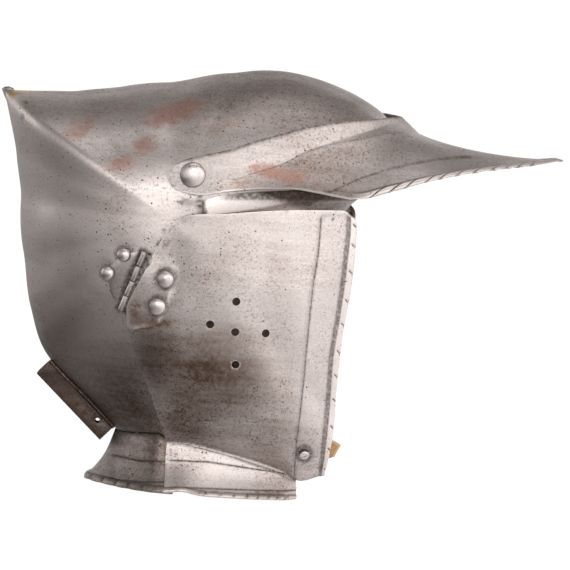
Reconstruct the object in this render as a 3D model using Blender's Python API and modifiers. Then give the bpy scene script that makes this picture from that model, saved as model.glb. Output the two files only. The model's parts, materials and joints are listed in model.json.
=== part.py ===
"""A burgonet of the late sixteenth century: a keeled skull, a pivoted peak and hinged cheekpieces.

The helmet is modelled in its own frame, in millimetres: the origin lies between the two pivots of the
peak, +X points to the front, +Z up. An empty then sets it down on its collar, in metres.
"""

import math

import bmesh
import bpy
import numpy as np
from mathutils import Matrix, Vector
from mathutils.bvhtree import BVHTree

MM = 0.001

# Plates
WALL = 1.5
PLATE_GAP = 0.7
LAYER = WALL + PLATE_GAP
TOUCH = 0.3
HALF_WIDTH = 95.0
SECTION_POWER = 2.5
# How quickly a row's bend under the ear dies out towards the mid-plane
BEND_FADE = 6
SHARP_ANGLE = math.radians(35.0)
MERGE = 0.01
SEAM_MERGE = 0.02
POLE = (-16.8, -30.8)
KEEL_HEIGHT = 1.5
KEEL_WIDTH = 16.0
# The keel fades in over these degrees at the pole
KEEL_START = 12.0
KEEL_SPAN = 20.0

# Outlines are read from the side, a little above level: a point nearer the mid-plane looks higher.
VIEW_RISE = math.tan(math.radians(4.0))
SIDE_REACH = 97.0

# Rest on the collar
REST_TILT = math.radians(5.0)
FLOOR_Z = -224.5
NECK_END_ANGLE = 271.0
BELOW_BROW = 315.0
SETTLE_STEPS = 6
NORMAL_STEP = 0.5
REACH_STEPS = 40
BROW_SETTLE_STEPS = 4
# Past this angle the rows bend towards the skull's front lower edge
BEND_START = 225.0
# Turns past this one lie on the mid-plane
KEEL_TURN = math.radians(89.9)
# Under the brow band the skull is drawn in a little, and by the temple its lower edge dips
BROW_SPAN = 16.0
BROW_SINK = 1.0
FRONT_DIP = 8.0
DIP_REACH = 40.0
# Height of the neck line over its mid-plane end, along its turn; it dives under the cheekpiece
NECK_LINE = ((0.0, 0.0), (0.735, 1.6), (1.0, -4.4))
HEAD_MIDDLE = (0.0, 0.0, -80.0)

# Mid-plane outline of the skull, as seen: x, z
BROW_TO_APEX = (
    (102.2, -25.2),
    (108.9, -17.2),
    (123.2, -8.4),
    (135.8, 2.8),
    (142.1, 14.7),
    (143.5, 25.2),
    (135.6, 39.9),
    (118.3, 52.5),
    (101.9, 62.3),
    (82.6, 69.3),
    (63.7, 73.4),
    (48.7, 74.2),
    (25.9, 72.3),
    (-18.9, 65.8),
    (-46.9, 63.4),
    (-79.8, 60.0),
    (-104.3, 59.9),
    (-124.0, 60.3),
    (-133.3, 60.9),
)
APEX_TO_NECK = (
    (-133.3, 60.9),
    (-130.7, 51.8),
    (-123.9, 15.0),
    (-121.1, -16.8),
    (-119.3, -52.5),
    (-114.1, -91.7),
    (-105.3, -120.8),
    (-77.0, -152.6),
    (-53.9, -177.8),
)
# Where the skull's section would reach the mid-plane past the neck: angle at the pole, radius
NECK_RADII = ((262.0, 171.5), (268.7, 193.0), (277.0, 201.0))
# The same for the cheekpiece
CHEEK_RADII = (
    (262.0, 171.5),
    (268.7, 193.0),
    (283.8, 200.0),
    (291.0, 204.0),
    (301.1, 217.9),
    (310.5, 191.0),
    (327.6, 162.0),
    (345.0, 150.5),
    (360.0, 147.5),
    (372.0, 147.0),
)

# Front lower edge of the skull: distance from the pole, angle at the pole
SKULL_EDGE = (
    (0.0, 350.0),
    (9.0, 348.0),
    (26.0, 272.0),
    (52.0, 253.0),
    (74.0, 254.0),
    (121.0, 266.0),
    (150.0, 271.0),
)

# Edges of the cheekpiece, as seen: x, z
CHEEK_TOP = ((-16.1, -37.1), (-12.6, -32.2), (-6.5, -29.3), (21.0, -27.2), (60.2, -24.7), (110.6, -24.5))
CHEEK_FRONT = (
    (110.6, -24.5),
    (113.0, -32.2),
    (112.7, -48.3),
    (109.9, -76.3),
    (104.3, -107.8),
    (100.1, -142.1),
    (96.6, -182.0),
    (91.0, -209.7),
)
CHEEK_REAR = (
    (-16.1, -37.1),
    (-25.2, -51.1),
    (-33.3, -66.9),
    (-39.9, -79.1),
    (-45.2, -90.0),
    (-45.2, -105.0),
    (-40.3, -123.2),
    (-30.1, -151.2),
    (-18.9, -185.1),
)
CHEEK_NECK = (
    (-18.9, -185.1),
    (-0.9, -186.9),
    (23.1, -193.2),
    (48.7, -200.9),
    (63.7, -207.2),
    (71.4, -213.5),
    (91.0, -209.7),
)
CHEEK_COLLAR_FRONT_X = 71.4
# The cheekpiece lies one plate over the skull up to this angle at the pole, and then rises to two plates
CHEEK_RISE_ANGLE = 262.0
CHEEK_RISE_SPAN = 30.0
SKULL_COLUMNS = 10
CROWN_ROWS = 24
BACK_ROWS = 17
NECK_ROWS = 7
ROW_CROWDING = 0.5
POLE_TURN = 0.036
CHEEK_ROWS = 14
CHEEK_COLUMNS = 12

# Collar profile: share of the height, share of the flare
COLLAR_PROFILE = ((0.48, 0.32), (0.75, 0.62), (1.0, 1.0))
# The collar's front end doesn't lean forward
COLLAR_FORWARD = -0.05
# The throat collar overlaps the nape collar
THROAT_EXTRA = 1.2
# The worn stretch of the throat collar's edge: how far it stands off the floor, its middle and its spread
COLLAR_DENT = (2.2, -8.0, 9.0)
# Flare of the collar: x, flare outward
COLLAR_FLARE = ((-55.0, 22.0), (-40.0, 17.0), (-15.0, 13.0), (30.0, 12.0), (75.0, 7.0))

# Brow band: its upper edge x z, its rear end and its lower edge
BROW_UPPER = (
    (6.8, -18.0),
    (22.0, -14.0),
    (45.0, -12.0),
    (70.0, -12.0),
    (90.0, -15.0),
    (106.0, -19.0),
    (112.0, -20.0),
)
BROW_START = 6.8
BROW_FOOT = -33.5
BROW_GROW = 2.5
BROW_LEAN = 2.4
BROW_STEPS = 14
BROW_ROWS = 3

# Peak
PEAK_HALF_WIDTH = 97.0
PEAK_UPPER_REACH = 150.6
PEAK_FOLD_REACH = 160.6
PEAK_UPPER_ANGLE = math.radians(13.0)
PEAK_FOLD_ANGLE = math.radians(7.6)
PEAK_SAG = 4.0
# The shade starts to sag after this station, and sags fully after this many more
SAG_START = 4
SAG_SPAN = 5
SAG_SHARES = (0.25, 0.5, 0.75)
# Stations from the temple to the mid-plane: upper edge x z, fold x z, outer edge x z, extra width of the edge
PEAK_STATIONS = (
    ((-16.4, 0.6), (-16.7, -1.4), (-16.4, -3.5), None),
    ((-14.7, 5.2), (-14.7, -1.4), (-14.0, -7.7), None),
    ((-7.7, 9.6), (-8.4, -1.4), (-7.0, -11.6), None),
    ((4.2, 13.0), (4.2, -2.1), (6.3, -13.9), None),
    ((23.8, 17.2), (26.6, -3.5), (26.6, -11.2), 97.6),
    ((42.4, 23.3), (43.4, 1.4), (47.6, -9.8), 98.3),
    ((60.2, 28.0), (61.6, 7.4), (68.6, -9.5), 98.0),
    ((77.7, 32.9), (76.3, 15.1), (85.4, -11.9), 96.5),
    ((93.8, 35.7), (93.1, 21.0), (101.5, -15.1), 93.5),
    ((109.2, 37.8), (109.2, 24.2), (115.9, -16.9), 88.5),
    ((121.8, 38.7), (124.6, 27.3), (140.0, -11.0), 78.5),
    ((131.6, 39.3), (137.2, 30.0), (165.2, -4.1), 66.0),
    ((138.6, 39.9), (145.6, 30.4), (191.0, 1.1), 52.0),
    ((143.2, 40.3), (151.9, 29.9), (216.3, 4.9), 36.0),
    ((145.5, 40.5), (156.8, 28.7), (241.9, 8.1), 17.0),
    ((146.3, 40.6), (158.9, 28.0), (258.3, 11.5), 0.0),
)

# Hinge: the two ends of the barrel as seen, and its sizes
BARREL_TOP = (-32.6, -52.5)
BARREL_FOOT = (-49.6, -93.1)
BARREL_RISE = 2.9
BARREL_RADIUS = 2.2
BORE_RADIUS = 1.45
PIN_RADIUS = 1.1
KNUCKLES = 4
KNUCKLE_GAP = 0.4
LEAF_THICKNESS = 1.2
LEAF_CLEAR = 2.8
LEAF_LIFT = 0.6
LEAF_SHARES = (0.25, 0.6, 1.0)
LEAF_TAPER = 0.25
# How far the skull's and the cheekpiece's leaf, and the tongue to its knuckles, stand out at the barrel
SKULL_LEAF_OUT = (-0.6, -1.2)
CHEEK_LEAF_OUT = (0.9, 0.3)
TONGUE_LENGTH = 3.4
TONGUE_FORWARD = 2.4
TONGUE_THICKNESS = 1.0
SKULL_LEAF_WIDTHS = (8.0, 17.0, 20.0, 15.0, 7.0)
CHEEK_LEAF_WIDTHS = (14.0, 20.0, 23.0, 22.0, 17.0)

# Rivets, as seen: x, z, head radius
SKULL_RIVETS = {"upper": (-47.6, -55.3, 4.9), "lower": (-58.5, -67.9, 4.9)}
CHEEK_RIVETS = {"upper": (-19.0, -72.1, 6.1), "lower": (-24.5, -91.0, 6.1)}
RIVET_HEIGHT = 3.4
RIVET_SHANK = 2.0
RIVET_HOLE = 2.35
RIVET_TAIL = 3.2
RIVET_TAIL_HEIGHT = 1.0
DOME_TURNS = (0.0, 22.5, 45.0, 67.5, 84.0)
HEAD_RIM = 0.97
TAIL_TAPER = 0.8
PIVOT_HEAD = 8.75
PIVOT_HEIGHT = 4.6
PIVOT_SHANK = 3.0
PIVOT_HOLE = 3.4
PIVOT_TAIL = 5.0
PIVOT_INNER_SEAT = 88.6
CHIN_RIVET = (77.0, -194.6)
CHIN_HEAD = 3.6
CHIN_HEIGHT = 1.5
CHIN_SHANK = 1.5
CHIN_HOLE = 1.85
CHIN_TAIL = 2.5
CHIN_TAIL_HEIGHT = 0.8
CHIN_SEAT = 0.8
CHIN_SLOT = (0.9, 14.0, 1.4)
CHIN_SLOT_HEIGHT = 2.7
TURN_STEPS = 16
DRILL_LENGTH = 24.0
PIN_PROUD = 1.5

# Breath holes, as seen: x, z
BREATH_HOLES = ((30.0, -87.8), (11.9, -103.6), (29.2, -109.0), (50.4, -109.9), (29.4, -131.6))
BREATH_RADIUS = 2.85

# Leather stub
STRAP_THICKNESS = 1.8
STRAP_SEAT = 0.8
STRAP_WIDTH = 12.0
STRAP_BACK = 7.0
STRAP_FRONT_X = 101.0
STRAP_TILT = 10.0
STRAP_CENTRE_Z = -197.0
STRAP_TEAR = 4.0
STRAP_SAMPLES = 7

# Plume holder on the nape, at the mid-plane: upper and lower end as seen, depth, width
HOLDER_TOP = (-100.5, -128.8)
HOLDER_FOOT = (-56.5, -175.3)
HOLDER_DEPTH = 13.0
HOLDER_WIDTH = 20.0
HOLDER_FLANGE = 34.0
HOLDER_HOLE_RADIUS = 1.8
HOLDER_HOLE_BACK = 11.0
HOLDER_HOLE_DEPTH = 4.8
HOLDER_SEAT = 0.5
HOLDER_SINK = 0.5
HOLDER_ROWS = 6
HOLDER_SHARES = (-1.0, -0.67, -0.33, 0.0, 0.33, 0.67, 1.0)


def steel(name, color, roughness, metallic=1.0):
    """A plain Principled material."""
    material = bpy.data.materials.new(name)
    material.use_nodes = True
    shader = material.node_tree.nodes["Principled BSDF"]
    shader.inputs["Base Color"].default_value = (*color, 1.0)
    shader.inputs["Roughness"].default_value = roughness
    shader.inputs["Metallic"].default_value = metallic
    return material


def curve_through(points, shares):
    """Points at the given shares of the length of the polyline through points, with rounded corners."""
    path = np.array(points, dtype=float)
    steps = np.linalg.norm(np.diff(path, axis=0), axis=1)
    along = np.concatenate(([0.0], np.cumsum(steps))) / steps.sum()
    slopes = np.gradient(path, along, axis=0)
    found = []
    for share in shares:
        k = min(max(np.searchsorted(along, share) - 1, 0), len(along) - 2)
        h = along[k + 1] - along[k]
        s = (share - along[k]) / h
        found.append(
            (2 * s**3 - 3 * s**2 + 1) * path[k]
            + (s**3 - 2 * s**2 + s) * h * slopes[k]
            + (3 * s**2 - 2 * s**3) * path[k + 1]
            + (s**3 - s**2) * h * slopes[k + 1]
        )
    return found


def polar(outline):
    """Angle in degrees and radius about the pole, of mid-plane points that were read as seen."""
    rows = []
    for x, seen_z in outline:
        dx = x - POLE[0]
        dz = seen_z - SIDE_REACH * VIEW_RISE - POLE[1]
        rows.append((math.degrees(math.atan2(dz, dx)) % 360.0, math.hypot(dx, dz)))
    if rows[0][0] > 350.0:
        rows = [(angle - 360.0 if angle > 350.0 else angle, radius) for angle, radius in rows]
    return rows


def smooth_table(rows):
    """A function through rows of (position, value) that keeps between neighbouring values."""
    xs = np.array([row[0] for row in rows])
    ys = np.array([row[1] for row in rows])
    h = np.diff(xs)
    d = np.diff(ys) / h
    m = np.zeros(len(xs))
    m[0], m[-1] = d[0], d[-1]
    for k in range(1, len(xs) - 1):
        if d[k - 1] * d[k] > 0:
            w1, w2 = 2 * h[k] + h[k - 1], h[k] + 2 * h[k - 1]
            m[k] = (w1 + w2) / (w1 / d[k - 1] + w2 / d[k])

    def value(x):
        k = int(min(max(np.searchsorted(xs, x) - 1, 0), len(h) - 1))
        s = min(max((x - xs[k]) / h[k], 0.0), 1.0)
        return float(
            (2 * s**3 - 3 * s**2 + 1) * ys[k]
            + (s**3 - 2 * s**2 + s) * h[k] * m[k]
            + (3 * s**2 - 2 * s**3) * ys[k + 1]
            + (s**3 - s**2) * h[k] * m[k + 1]
        )

    return value


FRONT_ROWS = polar(BROW_TO_APEX)
REAR_ROWS = polar(APEX_TO_NECK)
FRONT_RADIUS = smooth_table(FRONT_ROWS)
REAR_RADIUS = smooth_table(REAR_ROWS + list(NECK_RADII))
CHEEK_RADIUS = smooth_table(CHEEK_RADII)
BROW_ANGLE = FRONT_ROWS[0][0]
APEX_ANGLE = FRONT_ROWS[-1][0]
NECK_ANGLE = REAR_ROWS[-1][0]
NECK_POINT = APEX_TO_NECK[-1]


def skull_radius(angle):
    """Radius of the mid-plane outline; below the brow it keeps the brow's radius."""
    if angle <= APEX_ANGLE or angle > BELOW_BROW:
        return FRONT_RADIUS(angle if angle <= APEX_ANGLE else BROW_ANGLE)
    return REAR_RADIUS(angle)


def shell_width(x, z, radius_at, grow, start=0.0):
    """Half-width of the shell, grown outward, over a point of the side view."""
    dx, dz = x - POLE[0], z - POLE[1]
    angle = math.degrees(math.atan2(dz, dx)) % 360.0
    if angle < start:
        angle += 360.0
    share = math.hypot(dx, dz) / (radius_at(angle) + grow)
    return (HALF_WIDTH + grow) * math.sqrt(max(0.0, 1.0 - share**SECTION_POWER))


def skull_width(x, z, grow=0.0):
    return shell_width(x, z, skull_radius, grow)


def cheek_growth(angle):
    """The cheekpiece lies one plate over the skull at the hinge, and two plates over it at the brow."""
    share = min(max((angle - CHEEK_RISE_ANGLE) / CHEEK_RISE_SPAN, 0.0), 1.0)
    return LAYER * (1.0 + share * share * (3.0 - 2.0 * share))


def cheek_width(x, z, grow=0.0):
    angle = math.degrees(math.atan2(z - POLE[1], x - POLE[0])) % 360.0
    if angle < 180.0:
        angle += 360.0
    radius_at = CHEEK_RADIUS if angle > CHEEK_RISE_ANGLE else skull_radius
    return shell_width(x, z, radius_at, cheek_growth(angle) + grow, 180.0)


def settle(x, seen_z, width_at):
    """The point of the right-hand surface that is seen at x, seen_z."""
    width = SIDE_REACH
    for _ in range(SETTLE_STEPS):
        z = seen_z - (SIDE_REACH - width) * VIEW_RISE
        width = width_at(x, z)
    return Vector((x, -width, z))


def normal_at(x, z, width_at):
    """Outward unit normal of the right-hand surface."""
    step = NORMAL_STEP
    slope_x = (width_at(x + step, z) - width_at(x - step, z)) / (2 * step)
    slope_z = (width_at(x, z + step) - width_at(x, z - step)) / (2 * step)
    return Vector((-slope_x, -1.0, -slope_z)).normalized()


class Sheet:
    """The flat facets of a right-hand sheet, for whatever is seated on them."""

    def __init__(self, rows):
        bm = grid_mesh(rows)
        self.tree = BVHTree.FromBMesh(bm)
        bm.free()

    def hit(self, x, z):
        start = Vector((x, -2 * SIDE_REACH, z))
        point, normal, _, _ = self.tree.ray_cast(start, Vector((0.0, 1.0, 0.0)))
        if point is None:
            return None, None
        return point, normal if normal.y < 0.0 else -normal

    def seat(self, x, seen_z):
        """Point and outward normal of the facet that is seen at x, seen_z."""
        point = settle(x, seen_z, lambda px, pz: -self.hit(px, pz)[0].y)
        return point, self.hit(point.x, point.z)[1]

    def lifted(self, x, z, lift):
        """The point over x, z that stands off the sheet; past the sheet's edge there is none."""
        point, normal = self.hit(x, z)
        return None if point is None else point + normal * lift


class Helmet:
    """The collections, the resting empty and the materials that every piece shares."""

    def __init__(self):
        self.parts = bpy.data.collections.new("burgonet")
        self.cutters = bpy.data.collections.new("cutters")
        for collection in (self.parts, self.cutters):
            bpy.context.scene.collection.children.link(collection)
        self.rest = bpy.data.objects.new("rest_on_collar", None)
        self.parts.objects.link(self.rest)
        self.satin = steel("satin_steel", (0.46, 0.43, 0.41), 0.38)
        self.dark = steel("dark_steel", (0.16, 0.13, 0.115), 0.5)
        self.rivet = steel("rivet_steel", (0.5, 0.48, 0.46), 0.3)
        self.leather = steel("tan_leather", (0.42, 0.25, 0.12), 0.8, 0.0)

    def add(self, name, bm, material, side="right", origin=(0.0, 0.0, 0.0), smooth=True):
        """A named object from a right-hand millimetre mesh, its origin at a point of the helmet frame."""
        face_outward(bm)
        if side == "left":
            bmesh.ops.scale(bm, vec=(1.0, -1.0, 1.0), verts=bm.verts)
            bmesh.ops.reverse_faces(bm, faces=bm.faces)
            origin = (origin[0], -origin[1], origin[2])
        to_origin = Matrix.Scale(MM, 4) @ Matrix.Translation(-Vector(origin))
        bmesh.ops.transform(bm, matrix=to_origin, verts=bm.verts)
        mesh = bpy.data.meshes.new(name)
        bm.to_mesh(mesh)
        bm.free()
        if smooth:
            mesh.shade_smooth()
            mesh.set_sharp_from_angle(angle=SHARP_ANGLE)
        obj = bpy.data.objects.new(name, mesh)
        obj.location = Vector(origin) * MM
        mesh.materials.append(material)
        self.parts.objects.link(obj)
        obj.parent = self.rest
        return obj

    def cutter(self, name, bm, side="right"):
        obj = self.add(name, bm, self.dark, side, smooth=False)
        self.parts.objects.unlink(obj)
        self.cutters.objects.link(obj)
        obj.hide_render = True
        obj.display_type = "WIRE"
        return obj

    def boolean(self, obj, tool, operation="DIFFERENCE"):
        modifier = obj.modifiers.new(tool.name, "BOOLEAN")
        modifier.operation = operation
        modifier.solver = "EXACT"
        modifier.object = tool


def face_outward(bm):
    """Makes the faces agree; on an open sheet they face away from the middle of the head."""
    bmesh.ops.recalc_face_normals(bm, faces=bm.faces)
    if all(edge.is_manifold for edge in bm.edges):
        return
    inside = Vector(HEAD_MIDDLE)
    outward = 0.0
    for face in bm.faces:
        outward += (face.calc_center_median() - inside).dot(face.normal) * face.calc_area()
    if outward < 0.0:
        bmesh.ops.reverse_faces(bm, faces=bm.faces)


def grid_mesh(rows):
    """A sheet of quads through rows of points; points that coincide are merged."""
    bm = bmesh.new()
    made = [[bm.verts.new(point) for point in row] for row in rows]
    for upper, lower in zip(made, made[1:]):
        for k in range(len(upper) - 1):
            bm.faces.new((upper[k], upper[k + 1], lower[k + 1], lower[k]))
    bmesh.ops.remove_doubles(bm, verts=bm.verts, dist=MERGE)
    return bm


def thicken(obj, thickness):
    """Gives a sheet its wall, inward from the modelled surface."""
    modifier = obj.modifiers.new("wall", "SOLIDIFY")
    modifier.thickness = thickness * MM
    modifier.offset = -1.0
    modifier.use_even_offset = True


def mirror(obj):
    modifier = obj.modifiers.new("mirror", "MIRROR")
    modifier.use_axis = (False, True, False)
    modifier.use_clip = True
    modifier.merge_threshold = 0.0001


def floor_height(x):
    """Height, in the helmet frame, of the surface it rests on."""
    return FLOOR_Z - math.tan(REST_TILT) * x


def collar_rows(neck, extra=0.0, dents=lambda x: 0.0):
    """Rows of the flared collar below a row of neck points of the right-hand side."""
    flare = smooth_table(COLLAR_FLARE)
    rows = []
    for height_share, flare_share in COLLAR_PROFILE:
        row = []
        for k, point in enumerate(neck):
            ahead = neck[min(k + 1, len(neck) - 1)]
            behind = neck[max(k - 1, 0)]
            out = Vector((ahead.y - behind.y, behind.x - ahead.x, 0.0)).normalized()
            if abs(point.y) < 0.01:
                out = Vector((-1.0, 0.0, 0.0))
            if out.y > 0.0:
                out = -out
            out = Vector((min(out.x, COLLAR_FORWARD), out.y, 0.0)).normalized()
            reach = flare(point.x) + extra
            foot = point + out * reach
            drop = (floor_height(foot.x) + dents(foot.x) - point.z) * height_share
            row.append(point + out * (reach * flare_share) + Vector((0.0, 0.0, drop)))
        rows.append(row)
    return rows


def keel_drop(angle, width):
    """How far the crown falls away from its keel."""
    share = min(max((angle - KEEL_START) / KEEL_SPAN, 0.0), 1.0)
    if angle > APEX_ANGLE:
        return 0.0
    return KEEL_HEIGHT * share * min(width / KEEL_WIDTH, 1.0)


def skull_angles():
    """Angles of the skull's rows: over the bowl, and closing up towards the mid-plane of the neck."""

    def spread(start, end, steps):
        """Closer together at both ends."""
        turns = [k / steps for k in range(steps + 1)]
        return [start + (end - start) * (t - ROW_CROWDING * math.sin(math.tau * t) / math.tau) for t in turns]

    front = spread(BROW_ANGLE, APEX_ANGLE, CROWN_ROWS)
    back = spread(APEX_ANGLE, NECK_ANGLE, BACK_ROWS)
    neck_span = NECK_END_ANGLE - NECK_ANGLE
    neck = [NECK_ANGLE + neck_span * (k / NECK_ROWS) ** 2 for k in range(1, NECK_ROWS + 1)]
    return front + back[1:] + neck


def neck_share(angle):
    """Share of the section at which the skull meets the neck line."""
    if angle <= NECK_ANGLE:
        return 1.0
    neck_z = NECK_POINT[1] - SIDE_REACH * VIEW_RISE - POLE[1]
    progress = (angle - NECK_ANGLE) / (NECK_END_ANGLE - NECK_ANGLE)
    rise = float(np.interp(progress, *zip(*NECK_LINE)))
    return min(1.0, (neck_z + rise) / (math.sin(math.radians(angle)) * skull_radius(angle)))


def skull_rows(columns):
    """Rows of the right half of the skull, from the brow over the crown to the neck."""
    edge = smooth_table(SKULL_EDGE)
    rows = []
    for angle in skull_angles():
        row = []
        full = math.asin(neck_share(angle) ** (SECTION_POWER / 2))
        for turn in [0.0, POLE_TURN] + [full * k / columns for k in range(1, columns + 1)]:
            share = math.sin(turn) ** (2 / SECTION_POWER)
            on_keel = turn > KEEL_TURN
            reach = share * skull_radius(angle)
            at_brow = max(0.0, 1.0 - (angle - BROW_ANGLE) / BROW_SPAN)
            bent = angle - FRONT_DIP * at_brow * max(0.0, 1.0 - reach / DIP_REACH)
            if angle > BEND_START:
                progress = (angle - BEND_START) / (NECK_END_ANGLE - BEND_START)
                bent += (edge(reach) - NECK_END_ANGLE) * progress**2 * (1 - share**BEND_FADE)
            width = 0.0 if on_keel else HALF_WIDTH * math.cos(turn) - BROW_SINK * at_brow * share
            radius = reach - (keel_drop(angle, width) + BROW_SINK * at_brow) * share
            radians = math.radians(bent)
            x, z = POLE[0] + radius * math.cos(radians), POLE[1] + radius * math.sin(radians)
            if angle > BEND_START and not on_keel:
                width = skull_width(x, z)
            row.append(Vector((x, -width, z)))
        rows.append(row)
    return rows


def make_skull(helmet, rows):
    """The bowl and its nape collar."""
    bm = grid_mesh(rows)
    neck = [row[-1] for row in rows[-1 - NECK_ROWS :]]
    collar = grid_mesh([neck, *collar_rows(neck)])
    bm = joined([bm, collar])
    bmesh.ops.remove_doubles(bm, verts=bm.verts, dist=SEAM_MERGE)
    obj = helmet.add("skull", bm, helmet.satin)
    mirror(obj)
    thicken(obj, WALL)
    return obj


def make_peak(helmet):
    """The fall: an upstanding band that hugs the skull, and the flared shade in front of it."""

    def band_width(x, z):
        reach_share = (math.atan2(z, x) - PEAK_UPPER_ANGLE) / (PEAK_FOLD_ANGLE - PEAK_UPPER_ANGLE)
        reach_share = min(max(reach_share, 0.0), 1.0)
        reach = PEAK_UPPER_REACH + (PEAK_FOLD_REACH - PEAK_UPPER_REACH) * reach_share
        share = math.hypot(x, z) / reach
        return PEAK_HALF_WIDTH * math.sqrt(max(0.0, 1.0 - share**SECTION_POWER))

    last = len(PEAK_STATIONS) - 1
    rows = []
    for k, (upper, fold, edge, edge_width) in enumerate(PEAK_STATIONS):
        top = settle(*upper, band_width)
        middle = settle((upper[0] + fold[0]) / 2, (upper[1] + fold[1]) / 2, band_width)
        crease = settle(*fold, band_width)
        if edge_width is None:
            rim = settle(*edge, band_width)
        else:
            rim = Vector((edge[0], -edge_width, edge[1] - (SIDE_REACH - edge_width) * VIEW_RISE))
        if k == last:
            for point in (top, middle, crease, rim):
                point.y = 0.0
        sag = PEAK_SAG * min(max((k - SAG_START) / SAG_SPAN, 0.0), 1.0)
        row = [top, middle, crease]
        for share in SAG_SHARES:
            point = crease.lerp(rim, share)
            point.z -= sag * 4 * share * (1 - share)
            row.append(point)
        rows.append(row + [rim])
    obj = helmet.add("peak", grid_mesh(rows), helmet.satin)
    mirror(obj)
    thicken(obj, WALL)
    return obj


def brow_reach(z, grow):
    """How far forward the brow band reaches at a height: where its section meets the mid-plane."""
    near, far = POLE[0], POLE[0] + 2 * HALF_WIDTH
    for _ in range(REACH_STEPS):
        middle = (near + far) / 2
        if skull_width(middle, z, grow) > 0.0:
            near = middle
        else:
            far = middle
    return near


def make_brow_band(helmet):
    """The strip across the forehead, one plate over the skull."""
    upper_at = smooth_table([(x, upper) for x, upper in BROW_UPPER])
    rows = []
    for k in range(BROW_STEPS + 1):
        ahead = math.sin(math.pi / 2 * k / BROW_STEPS)
        row = []
        for j in range(BROW_ROWS + 1):
            down = j / BROW_ROWS
            grow = BROW_GROW + BROW_LEAN * ahead**2 * (1.0 - down)
            x = z = 0.0
            for _ in range(BROW_SETTLE_STEPS):
                upper = upper_at(x)
                z = upper + (BROW_FOOT - upper) * down
                x = BROW_START + (brow_reach(z, grow) - BROW_START) * ahead
            width = 0.0 if k == BROW_STEPS else skull_width(x, z, grow)
            row.append(Vector((x, -width, z)))
        rows.append(row)
    obj = helmet.add("brow_band", grid_mesh(rows), helmet.satin)
    mirror(obj)
    thicken(obj, WALL)
    return obj


def coons(top, right, bottom, left, rows, columns):
    """A grid of side-view points between four edges: left and right run down, top and bottom run forward."""
    u = np.linspace(0, 1, columns + 1)
    v = np.linspace(0, 1, rows + 1)
    tops, bottoms = curve_through(top, u), curve_through(bottom, u)
    lefts, rights = curve_through(left, v), curve_through(right, v)
    grid = []
    for j, b in enumerate(v):
        row = []
        for k, a in enumerate(u):
            upper_corners = (1 - a) * tops[0] + a * tops[-1]
            lower_corners = (1 - a) * bottoms[0] + a * bottoms[-1]
            across = (1 - a) * lefts[j] + a * rights[j]
            down = (1 - b) * (tops[k] - upper_corners) + b * (bottoms[k] - lower_corners)
            row.append(across + down)
        grid.append(row)
    return grid


def cheek_rows():
    """Rows of the right cheekpiece, from its upper edge to the neck."""
    grid = coons(CHEEK_TOP, CHEEK_FRONT, CHEEK_NECK, CHEEK_REAR, CHEEK_ROWS, CHEEK_COLUMNS)
    return [[settle(x, z, cheek_width) for x, z in row] for row in grid]


def collar_dents(x):
    """The worn stretch of the throat collar's lower edge stands a little off the floor."""
    height, middle, spread = COLLAR_DENT
    return height * math.exp(-(((x - middle) / spread) ** 2))


def make_cheek(helmet, side, rows, sheet, hinge):
    """One cheekpiece with its throat collar and breath holes; its origin is on the hinge."""
    neck = [point for point in rows[-1] if point.x <= CHEEK_COLLAR_FRONT_X + 1.0]
    bm = grid_mesh(rows)
    collar = grid_mesh([neck, *collar_rows(neck, THROAT_EXTRA, collar_dents)])
    bm = joined([bm, collar])
    bmesh.ops.remove_doubles(bm, verts=bm.verts, dist=SEAM_MERGE)
    obj = helmet.add(f"cheek_{side}", bm, helmet.satin, side, hinge.centre)
    thicken(obj, WALL)
    holes = [(*sheet.seat(x, z), BREATH_RADIUS) for x, z in BREATH_HOLES]
    holes += [(*sheet.seat(x, z), RIVET_HOLE) for x, z, _ in CHEEK_RIVETS.values()]
    holes.append((*sheet.seat(*CHIN_RIVET), CHIN_HOLE))
    drill(helmet, obj, holes, side)
    return obj



class Hinge:
    """Axis of the right-hand hinge: centre, direction up the barrel, outward normal, forward, half length."""

    def __init__(self, skull_sheet):
        top, _ = skull_sheet.seat(*BARREL_TOP)
        foot, _ = skull_sheet.seat(*BARREL_FOOT)
        seen_middle = [(upper + lower) / 2 for upper, lower in zip(BARREL_TOP, BARREL_FOOT)]
        middle = settle(*seen_middle, skull_width)
        normal = normal_at(middle.x, middle.z, skull_width)
        self.up = (top - foot).normalized()
        self.out = (normal - self.up * normal.dot(self.up)).normalized()
        self.forward = self.up.cross(self.out)
        self.centre = middle + self.out * BARREL_RISE
        self.half = (top - foot).length / 2

    def point(self, along, forward=0.0, out=0.0):
        return self.centre + self.up * along + self.forward * forward + self.out * out

    def matrix(self, along, forward=0.0, out=0.0):
        """Local Z along the barrel, X forward, Y outward."""
        turn = Matrix((self.forward, -self.out, self.up)).transposed().to_4x4()
        return Matrix.Translation(self.point(along, forward, out)) @ turn


def rod(radius, length, matrix, segments=12):
    """A closed cylinder along the local Z of a matrix."""
    bm = bmesh.new()
    bmesh.ops.create_cone(
        bm, cap_ends=True, segments=segments, radius1=radius, radius2=radius, depth=length, matrix=matrix
    )
    return bm


def block(size, matrix):
    """A closed box, centred on a matrix."""
    bm = bmesh.new()
    bmesh.ops.create_cube(bm, size=1.0, matrix=matrix @ Matrix.Diagonal((*size, 1.0)))
    return bm


def joined(meshes):
    """One mesh of several separate bodies."""
    bm = bmesh.new()
    for part in meshes:
        mesh = bpy.data.meshes.new("piece")
        part.to_mesh(mesh)
        part.free()
        bm.from_mesh(mesh)
        bpy.data.meshes.remove(mesh)
    return bm


def along_normal(point, normal):
    return Matrix.Translation(point) @ normal.to_track_quat("Z", "X").to_matrix().to_4x4()


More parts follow.
